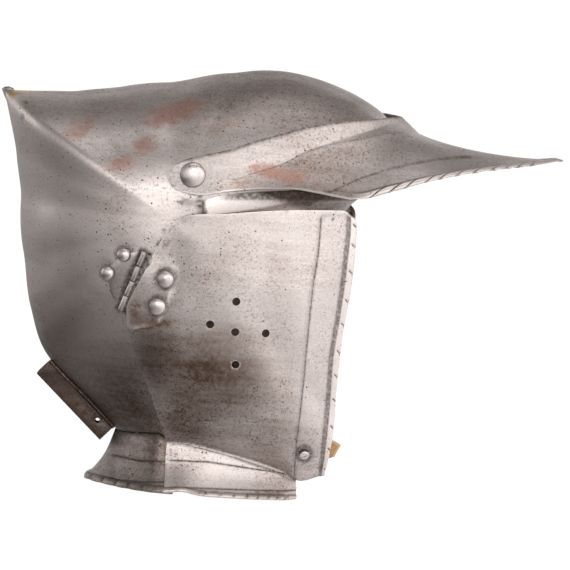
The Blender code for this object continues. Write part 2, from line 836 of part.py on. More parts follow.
def drill(helmet, obj, holes, side="right"):
    """Cuts round holes, each a point, a direction and a radius."""
    rods = [rod(radius, DRILL_LENGTH, along_normal(point, normal)) for point, normal, radius in holes]
    helmet.boolean(obj, helmet.cutter(f"{obj.name}_holes", joined(rods), side))


def turned(helmet, name, profile, point, normal, side, material):
    """A turned piece: a profile of radius and height, from the top down, set on a point along a normal."""
    if side == "left":
        point, normal = Vector((point.x, -point.y, point.z)), Vector((normal.x, -normal.y, normal.z))
    bm = bmesh.new()
    points = [bm.verts.new((radius * MM, 0.0, height * MM)) for radius, height in profile]
    for upper, lower in zip(points, points[1:]):
        bm.edges.new((upper, lower))
    mesh = bpy.data.meshes.new(name)
    bm.to_mesh(mesh)
    bm.free()
    mesh.materials.append(material)
    obj = bpy.data.objects.new(name, mesh)
    helmet.parts.objects.link(obj)
    obj.parent = helmet.rest
    obj.location = point * MM
    obj.rotation_euler = normal.to_track_quat("Z", "X").to_euler()
    screw = obj.modifiers.new("turn", "SCREW")
    screw.steps = TURN_STEPS
    screw.render_steps = TURN_STEPS
    screw.use_merge_vertices = True
    screw.merge_threshold = 0.00001
    screw.use_smooth_shade = True
    return obj


def rivet_profile(head, height, shank, depth, tail, tail_height, seat=TOUCH):
    """Domed head over the plate, shank through it and a flat tail inside."""
    dome = [(head * math.sin(a), seat + height * math.cos(a)) for a in np.radians(DOME_TURNS)]
    return [
        (0.0, seat + height),
        *dome[1:],
        (head * HEAD_RIM, seat),
        (shank, seat),
        (shank, -depth),
        (tail, -depth),
        (tail * TAIL_TAPER, -depth - tail_height),
        (0.0, -depth - tail_height),
    ]


def leaf_rows(hinge, sheet, width_at, widths, sign, first_out):
    """Outer face of a hinge leaf: it leaves the barrel and lies on the plate."""
    rows = []
    last = len(widths) - 1
    reach = hinge.half - KNUCKLE_GAP
    for k, width in enumerate(widths):
        along = -reach + 2 * reach * k / last
        row = [hinge.point(along, sign * LEAF_CLEAR, first_out)]
        for share in LEAF_SHARES:
            taper = 1.0 - LEAF_TAPER * share
            at = hinge.point(along * taper, sign * (LEAF_CLEAR + (width - LEAF_CLEAR) * share))
            over = sheet.lifted(at.x, at.z, LEAF_LIFT + LEAF_THICKNESS)
            if over is None:
                over = Vector((at.x, -width_at(at.x, at.z, LEAF_LIFT + LEAF_THICKNESS), at.z))
            row.append(over)
        rows.append(row)
    return rows


def make_leaf(helmet, name, side, hinge, rows, knuckles, sign, tongue_out, rivet_seats):
    """A hinge leaf with its two knuckles, bored for the pin and drilled for its rivets."""
    obj = helmet.add(name, grid_mesh(rows), helmet.satin, side, hinge.centre)
    thicken(obj, LEAF_THICKNESS)
    length = (2 * hinge.half - (KNUCKLES - 1) * KNUCKLE_GAP) / KNUCKLES
    for knuckle in knuckles:
        along = hinge.half - length / 2 - knuckle * (length + KNUCKLE_GAP)
        tongue_size = (TONGUE_LENGTH, TONGUE_THICKNESS, length - KNUCKLE_GAP)
        tongue = block(tongue_size, hinge.matrix(along, sign * TONGUE_FORWARD, tongue_out))
        barrel = rod(BARREL_RADIUS, length, hinge.matrix(along))
        helmet.boolean(obj, helmet.cutter(f"{name}_tongue_{knuckle}", tongue, side), "UNION")
        helmet.boolean(obj, helmet.cutter(f"{name}_knuckle_{knuckle}", barrel, side), "UNION")
    bore = rod(BORE_RADIUS, 3 * hinge.half, hinge.matrix(0.0))
    helmet.boolean(obj, helmet.cutter(f"{name}_bore", bore, side))
    drill(helmet, obj, [(point, normal, RIVET_HOLE) for point, normal in rivet_seats], side)
    return obj


def make_hinge(helmet, side, hinge, skull_sheet, cheek_sheet):
    """Two leaves, the pin, and two rivets through each leaf."""
    leaves = (
        ("skull", skull_sheet, skull_width, SKULL_LEAF_WIDTHS, (0, 2), -1.0, SKULL_LEAF_OUT, SKULL_RIVETS),
        ("cheek", cheek_sheet, cheek_width, CHEEK_LEAF_WIDTHS, (1, 3), 1.0, CHEEK_LEAF_OUT, CHEEK_RIVETS),
    )
    head_seat = LEAF_LIFT + LEAF_THICKNESS + LEAF_LIFT
    for plate, sheet, width_at, widths, knuckles, sign, (first_out, tongue_out), rivets in leaves:
        seats = {level: sheet.seat(x, z) for level, (x, z, _) in rivets.items()}
        rows = leaf_rows(hinge, sheet, width_at, widths, sign, first_out)
        name = f"hinge_{plate}_{side}"
        make_leaf(helmet, name, side, hinge, rows, knuckles, sign, tongue_out, seats.values())
        for level, (_, _, head) in rivets.items():
            profile = rivet_profile(
                head, RIVET_HEIGHT, RIVET_SHANK, WALL + TOUCH, RIVET_TAIL, RIVET_TAIL_HEIGHT, head_seat
            )
            turned(helmet, f"{plate}_rivet_{level}_{side}", profile, *seats[level], side, helmet.rivet)
    pin = rod(PIN_RADIUS, 2 * hinge.half + 2 * PIN_PROUD, hinge.matrix(0.0))
    helmet.add(f"hinge_pin_{side}", pin, helmet.dark, side)


def make_pivot(helmet, side):
    """The large rivet that the peak turns on."""
    depth = PEAK_HALF_WIDTH - PIVOT_INNER_SEAT
    profile = rivet_profile(PIVOT_HEAD, PIVOT_HEIGHT, PIVOT_SHANK, depth, PIVOT_TAIL, RIVET_TAIL_HEIGHT)
    centre = Vector((0.0, -PEAK_HALF_WIDTH, 0.0))
    turned(helmet, f"peak_pivot_{side}", profile, centre, Vector((0.0, -1.0, 0.0)), side, helmet.rivet)


def make_chin_rivet(helmet, side, sheet):
    """A small slotted rivet; on the right it still holds the strap."""
    depth = WALL + STRAP_SEAT + 2 * TOUCH + (STRAP_THICKNESS if side == "right" else 0.0)
    point, normal = sheet.seat(*CHIN_RIVET)
    profile = rivet_profile(CHIN_HEAD, CHIN_HEIGHT, CHIN_SHANK, depth, CHIN_TAIL, CHIN_TAIL_HEIGHT, CHIN_SEAT)
    obj = turned(helmet, f"chin_rivet_{side}", profile, point, normal, side, helmet.rivet)
    slot = block(CHIN_SLOT, along_normal(point, normal) @ Matrix.Translation((0.0, 0.0, CHIN_SLOT_HEIGHT)))
    helmet.boolean(obj, helmet.cutter(f"{obj.name}_slot", slot, side))
    return obj


def make_strap(helmet, sheet):
    """The torn leather end inside the right cheekpiece."""
    tilt = math.radians(STRAP_TILT)
    rows = []
    for k in range(STRAP_SAMPLES + 1):
        ahead = -STRAP_BACK + (STRAP_FRONT_X - CHIN_RIVET[0] + STRAP_BACK) * k / STRAP_SAMPLES
        row = []
        for j, share in enumerate((-0.5, 0.0, 0.5)):
            across = STRAP_WIDTH * share
            slant = STRAP_TEAR * share if k == STRAP_SAMPLES else 0.0
            x = CHIN_RIVET[0] + (ahead + slant) * math.cos(tilt) - across * math.sin(tilt)
            z = STRAP_CENTRE_Z + (ahead + slant) * math.sin(tilt) + across * math.cos(tilt)
            point = sheet.lifted(x, z, -WALL - STRAP_SEAT)
            if point is None:
                before, earlier = rows[-1][j], rows[-2][j]
                step = (before - earlier).normalized()
                point = before + step * max(1.0, (x - before.x) / max(step.x, 0.3))
            row.append(point)
        rows.append(row)
    obj = helmet.add("strap_stub", grid_mesh(rows), helmet.leather)
    thicken(obj, STRAP_THICKNESS)
    drill(helmet, obj, [(*sheet.seat(*CHIN_RIVET), CHIN_HOLE)])
    return obj


def make_plume_holder(helmet):
    """A flat socket on a curved flange, open at its upper end, with a peg hole across its foot."""
    lift = SIDE_REACH * VIEW_RISE
    top = Vector((HOLDER_TOP[0], 0.0, HOLDER_TOP[1] - lift))
    foot = Vector((HOLDER_FOOT[0], 0.0, HOLDER_FOOT[1] - lift))
    along = (foot - top).normalized()
    back = Vector((along.z, 0.0, -along.x))
    frame = Matrix((along, Vector((0.0, 1.0, 0.0)), back)).transposed().to_4x4()
    ends = [math.degrees(math.atan2(p.z - POLE[1], p.x - POLE[0])) % 360.0 for p in (top, foot)]
    rows = []
    for k in range(HOLDER_ROWS + 1):
        angle = ends[0] + (ends[1] - ends[0]) * k / HOLDER_ROWS
        row = []
        for share in HOLDER_SHARES:
            y = HOLDER_FLANGE / 2 * share
            grow = HOLDER_SEAT + WALL
            section = (1.0 - (y / (HALF_WIDTH + grow)) ** 2) ** (1 / SECTION_POWER)
            reach = (skull_radius(angle) + grow) * section
            turn = math.radians(angle)
            row.append(Vector((POLE[0] + reach * math.cos(turn), y, POLE[1] + reach * math.sin(turn))))
        rows.append(row)
    obj = helmet.add("plume_holder", grid_mesh(rows), helmet.dark)
    thicken(obj, WALL)
    length = (foot - top).length
    middle = (top + foot) / 2
    floor = HOLDER_SEAT + HOLDER_SINK
    outer = block(
        (length, HOLDER_WIDTH, HOLDER_DEPTH - floor),
        Matrix.Translation(middle + back * (HOLDER_DEPTH + floor) / 2) @ frame,
    )
    deep = HOLDER_DEPTH - floor - 2 * WALL
    inner = block(
        (length, HOLDER_WIDTH - 2 * WALL, deep),
        Matrix.Translation(middle + back * (HOLDER_DEPTH - WALL - deep / 2) - along * WALL) @ frame,
    )
    peg = foot - along * HOLDER_HOLE_BACK + back * HOLDER_HOLE_DEPTH
    across = Matrix.Translation(peg) @ Matrix.Rotation(math.pi / 2, 4, "X")
    hole = rod(HOLDER_HOLE_RADIUS, 2 * HOLDER_FLANGE, across)
    helmet.boolean(obj, helmet.cutter("holder_body", outer), "UNION")
    helmet.boolean(obj, helmet.cutter("holder_inside", inner))
    helmet.boolean(obj, helmet.cutter("holder_hole", hole))
    return obj


def main():
    for obj in list(bpy.data.objects):
        bpy.data.objects.remove(obj, do_unlink=True)
    helmet = Helmet()
    skull_grid = skull_rows(SKULL_COLUMNS)
    cheek_grid = cheek_rows()
    skull_sheet = Sheet(skull_grid)
    cheek_sheet = Sheet(cheek_grid)
    hinge = Hinge(skull_sheet)
    across = Vector((0.0, -1.0, 0.0))
    pivots = [(Vector((0.0, sign * PEAK_HALF_WIDTH, 0.0)), across, PIVOT_HOLE) for sign in (-1.0, 1.0)]
    skull_holes = list(pivots)
    for x, z, _ in SKULL_RIVETS.values():
        point, normal = skull_sheet.seat(x, z)
        for flip in (Vector((1.0, 1.0, 1.0)), Vector((1.0, -1.0, 1.0))):
            skull_holes.append((point * flip, normal * flip, RIVET_HOLE))
    drill(helmet, make_skull(helmet, skull_grid), skull_holes)
    drill(helmet, make_peak(helmet), pivots)
    make_brow_band(helmet)
    for side in ("right", "left"):
        make_cheek(helmet, side, cheek_grid, cheek_sheet, hinge)
        make_hinge(helmet, side, hinge, skull_sheet, cheek_sheet)
        make_pivot(helmet, side)
        make_chin_rivet(helmet, side, cheek_sheet)
    make_strap(helmet, cheek_sheet)
    make_plume_holder(helmet)
    set_down(helmet)


def set_down(helmet):
    """Turns the helmet onto its collar and puts the origin under the middle of its box."""
    helmet.rest.rotation_euler = (0.0, -REST_TILT, 0.0)
    bpy.context.view_layer.update()
    graph = bpy.context.evaluated_depsgraph_get()
    corners = []
    for obj in helmet.parts.objects:
        if obj.type != "MESH":
            continue
        shape = obj.evaluated_get(graph).to_mesh()
        corners += [obj.matrix_world @ vertex.co for vertex in shape.vertices]
        obj.evaluated_get(graph).to_mesh_clear()
    low = Vector(min(point[k] for point in corners) for k in range(3))
    high = Vector(max(point[k] for point in corners) for k in range(3))
    helmet.rest.location = (-(low.x + high.x) / 2, -(low.y + high.y) / 2, -low.z)
    bpy.context.view_layer.update()


main()
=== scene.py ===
"""Looks of a late sixteenth-century burgonet: plates, rivets, leather and worn steel over its frame."""

import json
import math

import bpy
import numpy as np
from mathutils import Euler, Matrix, Vector, noise

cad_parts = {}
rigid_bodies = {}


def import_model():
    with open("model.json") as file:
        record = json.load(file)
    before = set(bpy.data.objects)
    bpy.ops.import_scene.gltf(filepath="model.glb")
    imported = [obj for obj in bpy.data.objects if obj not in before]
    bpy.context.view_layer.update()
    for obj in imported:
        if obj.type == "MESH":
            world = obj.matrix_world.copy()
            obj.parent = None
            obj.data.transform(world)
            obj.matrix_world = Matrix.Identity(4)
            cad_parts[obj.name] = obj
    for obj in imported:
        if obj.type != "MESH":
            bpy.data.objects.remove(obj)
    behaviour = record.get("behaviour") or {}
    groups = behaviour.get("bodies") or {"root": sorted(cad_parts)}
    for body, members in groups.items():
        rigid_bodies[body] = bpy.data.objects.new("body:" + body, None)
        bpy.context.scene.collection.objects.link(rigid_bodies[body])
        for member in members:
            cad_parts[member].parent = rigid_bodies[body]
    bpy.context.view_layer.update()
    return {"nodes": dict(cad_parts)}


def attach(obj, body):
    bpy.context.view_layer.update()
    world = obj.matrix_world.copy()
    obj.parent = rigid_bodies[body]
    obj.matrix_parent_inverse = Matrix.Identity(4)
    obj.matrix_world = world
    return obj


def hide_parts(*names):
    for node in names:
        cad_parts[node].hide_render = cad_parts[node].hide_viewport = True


bl_info = {
    "name": "Burgonet",
    "version": (1, 0, 0),
    "blender": (4, 5, 0),
    "location": "View3D > Sidebar > Burgonet",
    "description": "Builds the plates, hinges, rivets and worn finishes of a burgonet over its packed frame",
    "category": "Object",
}

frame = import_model()
for node in bpy.data.objects:
    node.select_set(False)

MM = 0.001

# Where the helmet's own frame stands in the row frame. The tables are millimetres in the helmet's own frame.
REST_TURN = math.radians(5.0)
REST_PLACE = (-0.059716, 0.0, 0.224601)
REST = Matrix.Translation(REST_PLACE) @ Matrix.Rotation(-REST_TURN, 4, "Y")
HEAD_MIDDLE = np.array((0.0, 0.0, -80.0))

WALL = 1.5
LAYER = 2.2
HALF_WIDTH = 95.0
SECTION_POWER = 2.5
POLE = (-16.8, -30.8)
KEEL_HEIGHT = 1.5
KEEL_WIDTH = 16.0
KEEL_TURN = math.radians(89.9)
KEEL_START = 12.0
KEEL_SPAN = 20.0
VIEW_RISE = math.tan(math.radians(4.0))
SIDE_REACH = 97.0
FLOOR_Z = -224.5
NECK_END_ANGLE = 271.0
BELOW_BROW = 315.0
BEND_START = 225.0
BROW_SPAN = 16.0
BROW_SINK = 1.0
FRONT_DIP = 8.0
DIP_REACH = 40.0
NECK_LINE = ((0.0, 0.0), (0.735, 1.6), (1.0, -4.4))

BROW_TO_APEX = (
    (102.2, -25.2), (108.9, -17.2), (123.2, -8.4), (135.8, 2.8), (142.1, 14.7), (143.5, 25.2),
    (135.6, 39.9), (117.2, 54.6), (101.9, 62.3), (82.6, 69.3), (63.7, 73.4), (48.7, 74.2), (25.9, 72.3),
    (-18.9, 65.8), (-46.9, 63.4), (-79.8, 60.0), (-104.3, 59.9), (-124.0, 60.3), (-133.3, 60.9),
)
APEX_TO_NECK = (
    (-133.3, 60.9), (-130.7, 51.8), (-123.9, 15.0), (-121.1, -16.8), (-119.3, -52.5), (-114.1, -91.7),
    (-105.3, -120.8), (-77.0, -152.6), (-53.9, -177.8),
)
NECK_RADII = ((262.0, 171.5), (268.7, 193.0), (277.0, 201.0))
CHEEK_RADII = (
    (262.0, 171.5), (268.7, 193.0), (283.8, 200.0), (291.0, 204.0), (301.1, 217.9), (310.5, 191.0),
    (327.6, 162.0), (345.0, 150.5), (360.0, 147.5), (372.0, 147.0),
)
CHEEK_EVEN_RADII = (
    (262.0, 171.5), (270.0, 188.0), (284.0, 197.5), (301.0, 198.0), (318.0, 180.0), (335.0, 161.0),
    (355.0, 149.5), (372.0, 147.0),
)
SKULL_EDGE = (
    (0.0, 350.0), (9.0, 348.0), (26.0, 272.0), (52.0, 253.0), (74.0, 254.0), (121.0, 266.0),
    (150.0, 271.0),
)
CHEEK_TOP = (
    (-16.1, -37.1), (-12.6, -32.2), (-6.5, -29.3), (21.0, -27.2), (60.2, -24.7), (110.6, -24.5),
)
CHEEK_FRONT = (
    (110.6, -24.5), (113.0, -32.2), (112.7, -48.3), (109.9, -76.3), (104.3, -107.8), (100.1, -142.1),
    (96.6, -182.0), (91.0, -209.7),
)
CHEEK_REAR = (
    (-16.1, -37.1), (-25.2, -51.1), (-33.3, -66.9), (-39.9, -79.1), (-45.2, -90.0), (-45.2, -105.0),
    (-40.3, -123.2), (-30.1, -151.2), (-18.9, -185.1),
)
CHEEK_NECK = (
    (-18.9, -185.1), (-0.9, -186.9), (23.1, -193.2), (48.7, -200.9), (63.7, -207.2), (71.4, -213.5),
    (91.0, -209.7),
)
CHEEK_COLLAR_FRONT_X = 71.4
# The cheekpiece laps over the bowl from this angle on; near the pole its outline's radius is the even one
CHEEK_REAR_ANGLE = 262.0
CHEEK_LAP_SPAN = 63.0
CHEEK_LAP_REACH = 20.0
CHEEK_EVEN_REACH = 60.0
CHEEK_EVEN_FADE = 110.0
CORNER = 8.0
COLLAR_PROFILE = ((0.0, 0.0), (0.48, 0.32), (0.75, 0.62), (1.0, 1.0))
COLLAR_FORWARD = -0.05
THROAT_EXTRA = 1.2
COLLAR_FLARE = ((-55.0, 22.0), (-40.0, 17.0), (-15.0, 13.0), (30.0, 12.0), (75.0, 7.0))
BROW_UPPER = (
    (6.8, -18.0), (22.0, -14.0), (45.0, -12.0), (70.0, -12.0), (90.0, -15.0), (106.0, -19.0),
    (112.0, -20.0),
)
BROW_START = 6.8
BROW_FOOT = -33.5
BROW_GROW = 2.5
BROW_LEAN = 2.4
PEAK_HALF_WIDTH = 97.0
PEAK_UPPER_REACH = 150.6
PEAK_FOLD_REACH = 160.6
PEAK_UPPER_ANGLE = math.radians(13.0)
PEAK_FOLD_ANGLE = math.radians(7.6)
PEAK_SAG = 4.0
PEAK_NARROWING = 0.8
# Stations of the peak, temple to mid-plane: upper edge, fold and outer edge, each x z, and its half-width
PEAK_STATIONS = (
    ((-16.4, 0.6), (-16.7, -1.4), (-16.4, -3.5), None),
    ((-14.7, 5.2), (-14.7, -1.4), (-14.0, -7.7), None),
    ((-7.7, 9.6), (-8.4, -1.4), (-7.0, -11.6), None),
    ((4.2, 13.0), (4.2, -2.1), (6.3, -13.9), None),
    ((23.8, 17.2), (26.6, -3.5), (26.6, -11.2), 97.6),
    ((42.4, 23.3), (43.4, 1.4), (47.6, -9.8), 98.3),
    ((60.2, 28.0), (61.6, 7.4), (68.6, -9.5), 98.0),
    ((77.7, 32.9), (76.3, 15.1), (85.4, -11.9), 96.5),
    ((93.8, 35.7), (93.1, 21.0), (101.5, -15.1), 93.5),
    ((109.2, 37.8), (109.2, 24.2), (115.9, -16.9), 88.5),
    ((121.8, 38.7), (124.6, 27.3), (140.0, -11.0), 78.5),
    ((131.6, 39.3), (137.2, 30.0), (165.2, -4.1), 66.0),
    ((138.6, 39.9), (145.6, 30.4), (191.0, 1.1), 52.0),
    ((143.2, 40.3), (151.9, 29.9), (216.3, 4.9), 36.0),
    ((145.5, 40.5), (156.8, 28.7), (241.9, 8.1), 17.0),
    ((146.3, 40.6), (158.9, 28.0), (258.3, 11.5), 0.0),
)
HINGE_CENTRE = (-41.4932, -94.2632, -73.6142)
HINGE_UP = (0.3747, -0.1874, 0.9080)
HINGE_HALF = 22.684
HINGE_SEEN = ((-32.6, -52.5), (-49.6, -93.1))
BARREL_RADIUS = 2.25
KNUCKLES = 4
KNUCKLE_GAP = 0.4
SKULL_RIVETS = {"upper": (-47.6, -55.3, 4.9), "lower": (-58.5, -67.9, 4.9)}
CHEEK_RIVETS = {"upper": (-19.0, -72.1, 6.1), "lower": (-24.5, -91.0, 6.1)}
CHIN_RIVET = (77.0, -194.6)
# Rivets of each part: where they sit, height of the head, radius of the tail
RIVET_SETS = {"skull": (SKULL_RIVETS, 3.6, 3.0), "cheek": (CHEEK_RIVETS, 3.7, 3.2)}
RIVET_SEAT = 1.6
RIVET_TAIL_DEPTH = 4.2
# Radius and height of the head, radius and depth of the tail, place in the noise, unevenness
PEAK_PIVOT = (8.9, 4.6, 5.0, 8.4, 1.7, 0.03)
PIVOT_SEAT = 0.3
CHIN_HEAD = (3.7, 1.7, 2.5)
CHIN_TAIL_DEPTHS = {"right": 4.7, "left": 3.0}
CHIN_SEAT = 0.5
CHIN_SLOT = (0.9, 9.0, 1.6)
CHIN_SLOT_TURN = math.radians(25.0)
# Hinge leaves: widths down the barrel, knuckles, side, lift, height at the barrel, how fast the lift fades
HINGE_LEAVES = {
    "skull": ((9.0, 15.0, 19.0, 16.0, 10.0), (0, 2), -1.0, 0.2, -0.9, 0.0),
    "cheek": ((14.0, 20.0, 23.0, 22.0, 17.0), (1, 3), 1.0, 1.2, 0.6, 1.2),
}
STRAP_MIDDLE = (77.0, -198.6)
STRAP_TILT = math.radians(10.0)
STRAP_WIDTH = 12.0
STRAP_START = -7.0
STRAP_END = ((-0.5, 0.1, 0.5), (20.3, 26.5, 21.4))
BREATH_HOLES = ((30.0, -87.8), (11.9, -103.6), (29.2, -109.0), (50.4, -109.9), (29.4, -131.6))

# Lines worked into the plates, as seen: x, z
CHEEK_INNER_LINE = (
    (89.0, -24.0), (88.9, -33.3), (87.2, -55.0), (83.7, -76.3), (81.9, -92.8), (79.1, -120.8),
    (75.6, -158.9), (72.1, -184.5), (70.0, -212.0),
)
CHEEK_OUTER_LINE = (
    (108.0, -24.0), (108.2, -28.0), (107.5, -42.0), (103.6, -76.3), (100.0, -101.5), (95.5, -127.2),
    (93.6, -158.9), (90.4, -190.8), (88.2, -212.0),
)
CHEEK_NOTCHES = (-34.3, -48.3, -66.5, -86.5, -102.9, -121.8, -138.6, -155.4, -174.3, -189.7, -203.7)
PEAK_BORDER_LINE = (
    (95.0, -12.0), (99.4, -9.8), (114.6, -2.8), (135.1, 4.2), (152.6, 8.7), (171.9, 11.9),
    (190.0, 13.6),
)
PEAK_NOTCHES = (128.0, 141.4, 152.6, 166.6, 176.4, 188.3, 200.2, 213.2, 223.3, 231.7, 240.5)
THROAT_LINES = (
    ("step", 0.55, ((-13.7, -198.5), (10.5, -199.5), (35.7, -203.6), (63.7, -207.9))),
    ("groove", 0.45, ((-8.4, -186.9), (20.0, -194.0), (45.0, -202.0), (63.7, -208.6))),
    ("step", -0.5, ((-12.6, -217.0), (16.8, -218.2), (63.7, -220.1), (72.0, -219.8))),
)
NAPE_LINES = (
    ("step", 0.55, ((-53.2, -196.0), (-36.4, -199.1), (-18.9, -199.1), (0.0, -199.5))),
    ("step", -0.5, ((-72.1, -210.0), (-59.5, -212.5), (-40.6, -214.2), (-20.3, -214.2), (0.0, -214.8))),
)

# Marks on the right-hand side, as seen: x, z, half length, half height, turn in degrees, strength
RED_PATCHES = (
    (-78.0, 32.0, 14.0, 7.0, 35.0, 0.8),
    (-15.0, 43.0, 20.0, 8.0, 18.0, 0.9),
    (-32.0, 20.0, 10.0, 6.0, 10.0, 0.8),
    (-50.0, 8.0, 12.0, 4.5, 15.0, 0.8),
    (22.0, 34.0, 20.0, 5.0, 10.0, 0.5),
    (-81.0, -30.0, 11.0, 5.0, -30.0, 0.5),
    (-88.0, -52.0, 5.0, 6.0, 60.0, 0.4),
    (-45.0, 48.0, 12.0, 4.0, 20.0, 0.4),
)
PEAK_RED_PATCHES = ((56.0, 2.0, 22.0, 6.0, -12.0, 0.8), (34.0, -4.0, 8.0, 4.0, 0.0, 0.6))
RUST_SPOTS = (
    (-20.0, -44.0, 5.0, 9.0, -20.0, 0.55),
    (-7.0, -18.0, 6.0, 2.5, 0.0, 0.55),
    (-68.0, -86.0, 8.0, 12.0, 20.0, 0.5),
    (-62.0, -110.0, 10.0, 14.0, 20.0, 0.45),
    (-36.0, -108.0, 10.0, 4.0, 0.0, 0.7),
)
# Where the cheekpiece is beaten out over its hinge leaf
HINGE_BULGE = (
    (-46.5, -88.2), (-46.4, -105.0), (-41.6, -107.1), (-23.8, -103.6), (-16.5, -91.4), (-11.2, -67.9),
    (-14.0, -57.4), (-30.0, -53.0),
)
# Dark marks on the cheekpiece: brown stains, and painted shade over its lower rear and its upper middle.
CHEEK_STAINS_AND_SHADE = (
    (6.0, -150.0, 38.0, 36.0, 25.0, 0.95),
    (-20.0, -132.0, 20.0, 34.0, 25.0, 0.95),
    (-4.0, -172.0, 22.0, 14.0, -10.0, 0.95),
    (6.0, -58.0, 30.0, 34.0, 0.0, 0.3),
    (40.0, -178.0, 34.0, 14.0, -18.0, 0.55),
    (62.0, -130.0, 10.0, 60.0, 5.0, 0.35),
    (-14.0, -74.0, 12.0, 20.0, 0.0, 0.35),
)
# Dark marks on the bowl: painted shade over the lower rear, which faces down, and brown mottling on the
# crown.
SKULL_STAINS_AND_SHADE = (
    (-62.0, -150.0, 52.0, 26.0, -38.0, 0.95),
    (-66.0, -118.0, 42.0, 18.0, -60.0, 0.25),
    (60.0, 55.0, 60.0, 26.0, -12.0, 0.35),
)
# Painted light on the bowl: over the temple, behind the pivot and over the rear.
PAINTED_LIGHT_SKULL = (
    (-26.0, -28.0, 22.0, 18.0, 30.0, 0.5), (-16.0, 8.0, 16.0, 8.0, 0.0, 0.25),
    (-84.0, -54.0, 24.0, 58.0, 8.0, 0.7),
)
# Painted light on the cheekpiece, over its middle and its lower front.
PAINTED_LIGHT_CHEEK = ((56.0, -84.0, 26.0, 32.0, 0.0, 0.16), (60.0, -160.0, 14.0, 40.0, 4.0, 0.12))
BRASS_SPOTS = (
    (-119.0, 59.3, 11.0, 1.1, -2.0, 0.8), (-125.5, 57.0, 3.2, 2.4, -30.0, 1.0),
    (-118.0, 49.5, 1.8, 3.6, 15.0, 0.7),
)
APEX_HOLES = (
    (-116.5, 50.5, 0.8, 2.6, 15.0, 0.9), (-114.5, 54.0, 0.7, 0.7, 0.0, 0.8),
    (-119.0, 40.5, 1.0, 1.3, 0.0, 0.9),
)
APEX_PITS = ((-118.0, 50.0, 8.0, 9.0, 30.0, 1.0), (-74.0, 20.0, 30.0, 12.0, -38.0, 0.5))
APEX_TIP = (-133.3, 60.9)
HINGE_PITS = ((-45.0, -75.0, 34.0, 34.0, 0.0, 0.9), (30.0, -165.0, 40.0, 22.0, -10.0, 0.5))
CHEEK_RUST = (
    (-17.5, -44.0, 3.0, 9.0, -20.0, 0.5),
    (-28.0, -104.0, 15.0, 5.0, 5.0, 0.75),
    (-40.0, -92.0, 6.0, 8.0, 0.0, 0.6),
    (30.0, -176.0, 10.0, 5.0, 30.0, 0.35),
)
THROAT_STAINS = ((-8.0, -208.0, 12.0, 12.0, 0.0, 1.0), (66.0, -214.0, 14.0, 8.0, 0.0, 1.0))
THROAT_RUST = ((50.0, -222.0, 14.0, 2.0, 0.0, 0.7), (10.0, -221.0, 16.0, 2.0, 0.0, 0.5))
BROW_RUST = ((7.0, -24.0, 3.0, 6.0, 0.0, 0.8), (80.0, -20.0, 5.0, 2.0, 0.0, 0.6))
PEAK_RUST = ((-12.0, -9.0, 8.0, 2.0, -20.0, 0.5),)
CORNER_NICK = (97.2, -30.8)
CORNER_HOLE = (64.8, -24.5)
# Where the notches of the collars' turned edges lie, along X
THROAT_NOTCHES = (8.0, 18.5, 28.0, 37.0, 45.0, 52.0, 58.0, 64.0)
NAPE_NOTCHES = (-70.0, -62.0, -53.0, -44.0, -35.0, -27.0)

# Lengths that the grid step divides, and numbers of rows and columns
FRONT_LENGTH = 300.0
BACK_LENGTH = 200.0
NECK_LENGTH = 80.0
ROW_LENGTH = 190.0
BROW_LENGTH = 130.0
PEAK_LENGTH = 330.0
BROW_ROWS = 22
LEAF_ROWS = 36
LEAF_COLUMNS = 30
STRAP_ROWS = 40
STRAP_COLUMNS = 20
CHEEK_FINENESS = 0.8
RIDGE_ROWS = 7
POLE_RINGS = (0.0, 0.004, 0.012, 0.024)
# Rows of the peak and columns of the cheekpiece past its field: first, last and number of each run
PEAK_ROWS = (
    (-1.0, -0.1, 16),
    (-0.05, -0.05, 1),
    (-0.02, 0.02, 3),
    (0.05, 0.05, 1),
    (0.08, 0.86, 40),
    (0.875, 1.0, 16),
)
CHEEK_COLUMNS = ((0.612, 0.628, 3), (0.64, 0.64, 1), (0.66, 0.83, 12), (0.84, 0.88, 6), (0.89, 1.0, 9))
CHEEK_FIELD_LENGTH = 90.0
CHEEK_LENGTH = 180.0
THROAT_LENGTH = 64.0
CHEEK_INNER_U = 0.62
CHEEK_OUTER_U = 0.86
PEAK_NOTCH_SPREAD = (-0.15, -0.11, -0.075, -0.045, -0.02, 0.0, 0.02, 0.045, 0.075, 0.11, 0.15)
CHEEK_NOTCH_SPREAD = (-0.008, -0.0045, -0.002, 0.0, 0.002, 0.0045, 0.008)

PEAK_BEAD = 2.8
COLLAR_BEAD = 2.0
COLLAR_TURN = 16.0
STEP_DIRT = 0.6
GROOVE_DIRT = 0.5
BROAD_DENT = 38.0
SMALL_DENT = 15.0
BULB_SIZE = (4.4, 2.8, 2.9)
BREATH_RADIUS = 2.85
FLANGE = 0.9
LEAF_ROOT = 2.0
SLOPE_STEP = 0.5
SIDES = ("right", "left")

# Finish of each steel: tone, brown film, pits, roughness, contrast of the scratches, and their bump
STEELS = {
    "skull_steel": (0.86, 0.36, 0.3, 0.4, 0.3, 0.12),
    "brow_steel": (1.0, 0.2, 0.15, 0.38, 0.35, 0.1),
    "peak_steel": (0.9, 0.36, 0.22, 0.39, 0.35, 0.1),
    "cheek_steel": (1.04, 0.24, 0.2, 0.38, 0.42, 0.14),
    "rivet_steel": (0.95, 0.3, 0.08, 0.36, 0.2, 0.05),
    "hinge_steel": (1.05, 0.22, 0.12, 0.3, 0.35, 0.1),
    "pin_steel": (0.6, 0.7, 0.2, 0.4, 0.3, 0.1),
    "holder_steel": (0.42, 0.6, 0.25, 0.36, 0.35, 0.1),
}
PATCH_GRAINS = {"red": 95.0, "rust": 160.0, "brass": 220.0}
# Corrosion pits: scale of the cells, and the pits' radius in them
PIT_SIZES = ((380.0, 0.26), (900.0, 0.3))
